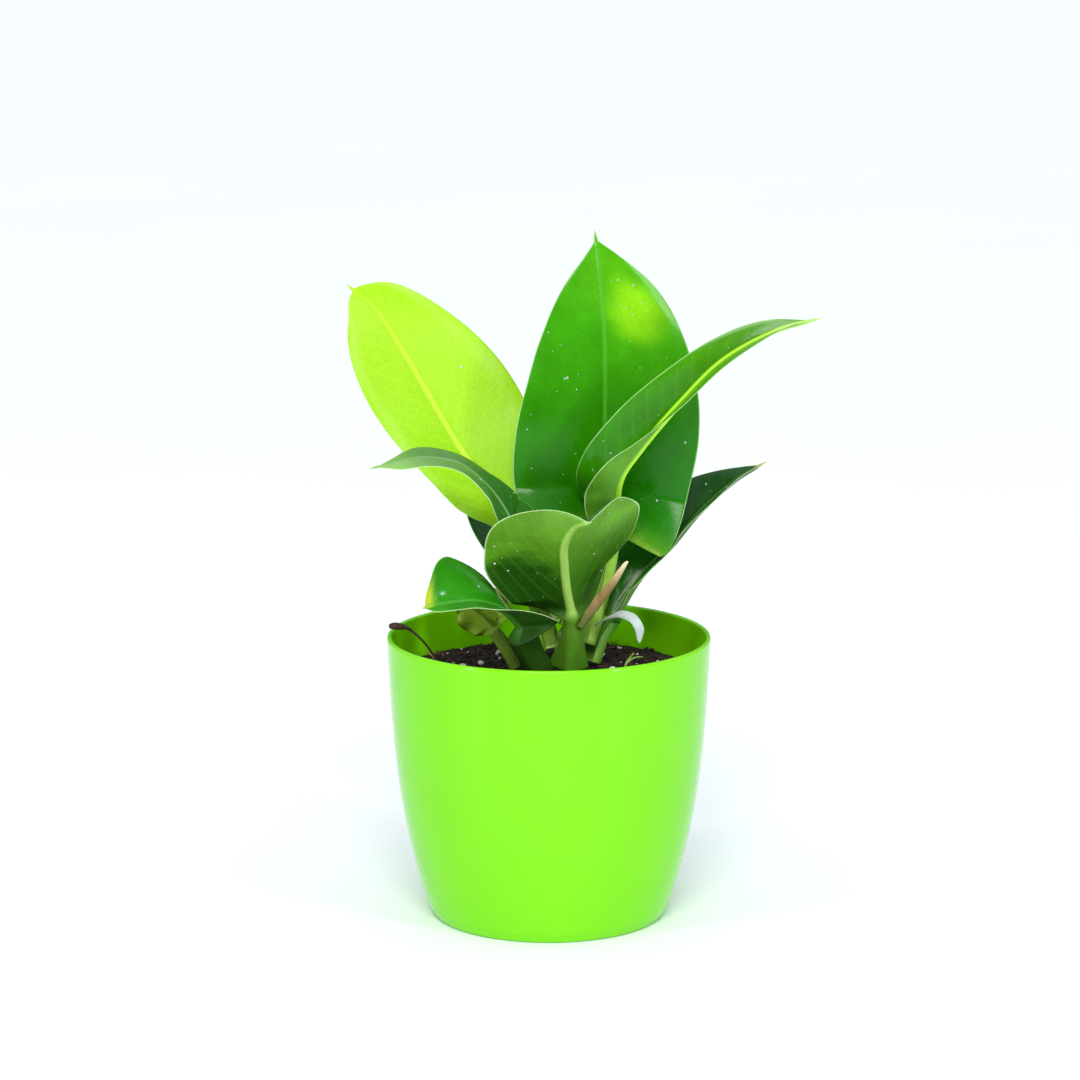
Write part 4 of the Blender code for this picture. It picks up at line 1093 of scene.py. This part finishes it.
def makeDrops():
    points, faces, wet = [], [], []
    for name, (upper, lower, values) in leafSurfaces.items():
        leaf = leaves[name]
        for key, skin, flip in (("wet", upper, False), ("wetUnder", lower, True)):
            if key not in leaf:
                continue
            rows, wide = skin.shape[:2]
            start = len(points)
            points += skin.reshape(-1, 3).tolist()
            low, high = leaf[key]
            u, share = values["u"], values["share"]
            amount = low + (high - low) * smoothStep(0.25, 0.75, u)
            amount = amount * values["onBlade"] * smoothStep(0.6, 2.5, values["edgeMm"])
            if "dryUpTo" in leaf:
                amount = amount * smoothStep(*leaf["dryUpTo"], share)
            wet += amount.ravel().tolist()
            for i in range(rows - 1):
                for j in range(wide - 1):
                    quad = [start + i * wide + j, start + i * wide + j + 1,
                            start + (i + 1) * wide + j + 1, start + (i + 1) * wide + j]
                    faces.append(quad[::-1] if flip else quad)
    sheet = newPiece("wetLeafFaces", points, faces, [])
    setValues(sheet, "wet", np.array(wet))
    tree, ids, source = newTree("dropScatter", {"Drops per m2": 20000.0, "Drop size": 0.0004, "Seed": 1})
    wetness = namedValue(tree, "wet")
    cloud = addNode(tree, "ShaderNodeTexNoise", {"Scale": 70.0, "Detail": 2.0})
    patchy = remapNode(tree, cloud.outputs[0], 0.42, 0.62, 0.1, 1.0)
    share = mathNode(tree, "MULTIPLY", wetness.outputs["Attribute"], patchy.outputs["Result"])
    density = mathNode(tree, "MULTIPLY", share.outputs[0], source.outputs["Drops per m2"])
    spots = spotsOnFaces(tree, source, density.outputs[0])
    bead = addNode(tree, "GeometryNodeMeshIcoSphere", {
        "Radius": source.outputs["Drop size"], "Subdivisions": 2})
    flat = addNode(tree, "GeometryNodeTransform", {"Geometry": bead.outputs["Mesh"], "Scale": (1, 1, 0.55)})
    size = addNode(tree, "FunctionNodeRandomValue", {2: 0.0, 3: 1.0, "Seed": 5}, data_type="FLOAT")
    cubed = mathNode(tree, "POWER", size.outputs[1], 3.0)
    scale = mathNode(tree, "MULTIPLY_ADD", cubed.outputs[0], 0.9, 0.45)
    onPoints = addNode(tree, "GeometryNodeInstanceOnPoints", {
        "Points": spots.outputs["Points"], "Instance": flat.outputs[0], "Rotation": spots.outputs["Rotation"],
        "Scale": scale.outputs[0]})
    closeTree(tree, onPoints.outputs["Instances"], waterDrop())
    piece = grow("waterDrops", sheet, tree, ids, {
        "Drops per m2": drops["perM2"], "Drop size": drops["size"], "Seed": drops["seed"]})
    bpy.data.objects.remove(sheet)
    place(piece, "leaf_green")
    print("drop faces:", len(piece.data.polygons))


makeDrops()
print("drops made")


# floor, light and camera

studio = {
    "cameraAt": (-3.5, -1500, 452.4), "pitch": 11.36, "lens": 129.67,
    "skyColour": "F2F8FF", "skyFrom": 0.1, "skyTo": 0.8, "skyLow": 0.10, "skyHigh": 0.98,
    # name, place, aim, kind, size (mm, or degrees for a sun), power, tone
    "lamps": [
        ("keySun", (-40, -1280, 1330), (0, 0, 120), "SUN", 26, 1.85, "FFFDF6"),
        ("rightWindow", (1100, -1000, 480), (20, 0, 200), "AREA", (150, 380), 9.0, "E8F2FF"),
        ("leftWindow", (-1250, -850, 430), (20, 0, 200), "AREA", (130, 380), 8.0, "E8F2FF"),
    ],
}


def makeStudio():
    scene = bpy.context.scene
    material, tree = newMaterial("paintedFloor")
    coords = addNode(tree, "ShaderNodeTexCoord")
    haze = noiseNode(tree, coords, 3.0, 2.0)
    colour = mixNode(tree, haze.outputs["Fac"], rgba("F4F7FA"), rgba("F8FAFC"))
    shader = addNode(tree, "ShaderNodeBsdfPrincipled", {"Base Color": colour.outputs[2], "Roughness": 0.6})
    finishMaterial(tree, shader)
    half = 12000
    floor = newPiece("studioFloor", [(-half, -half, 0), (half, -half, 0), (half, half, 0), (-half, half, 0)],
                     [(0, 1, 2, 3)], [material], smooth=False)

    # sky: pale overhead, dim near the horizon, as in a light tent open at the sides
    world = bpy.data.worlds.new("studioSky")
    world.use_nodes = True
    tree = world.node_tree
    coords = addNode(tree, "ShaderNodeTexCoord")
    parts = addNode(tree, "ShaderNodeSeparateXYZ", {0: coords.outputs["Generated"]})
    sky = [studio[key] for key in ("skyFrom", "skyTo", "skyLow", "skyHigh")]
    level = remapNode(tree, parts.outputs["Z"], *sky, smooth=True)
    back = tree.nodes["Background"]
    back.inputs["Color"].default_value = rgba(studio["skyColour"])
    tree.links.new(level.outputs["Result"], back.inputs["Strength"])
    scene.world = world

    for name, at, aim, kind, size, power, tone in studio["lamps"]:
        light = bpy.data.lights.new(name, kind)
        light.energy, light.color = power, linear(tone)
        if kind == "SUN":
            light.angle = math.radians(size)
        else:
            light.shape, light.size, light.size_y = "RECTANGLE", size[0] * mm, size[1] * mm
        lamp = bpy.data.objects.new(name, light)
        lamp.location = Vector(at) * mm
        lamp.rotation_euler = (Vector(aim) - Vector(at)).to_track_quat("-Z", "Y").to_euler()
        scene.collection.objects.link(lamp)

    camera = bpy.data.cameras.new("camera")
    camera.lens, camera.sensor_width = studio["lens"], 36
    camera.clip_end = 100
    rig = bpy.data.objects.new("camera", camera)
    rig.location = Vector(studio["cameraAt"]) * mm
    rig.rotation_euler = (math.radians(90 - studio["pitch"]), 0, 0)
    scene.collection.objects.link(rig)
    scene.camera = rig
    scene.view_settings.view_transform = "Standard"


makeStudio()
print("studio ready")
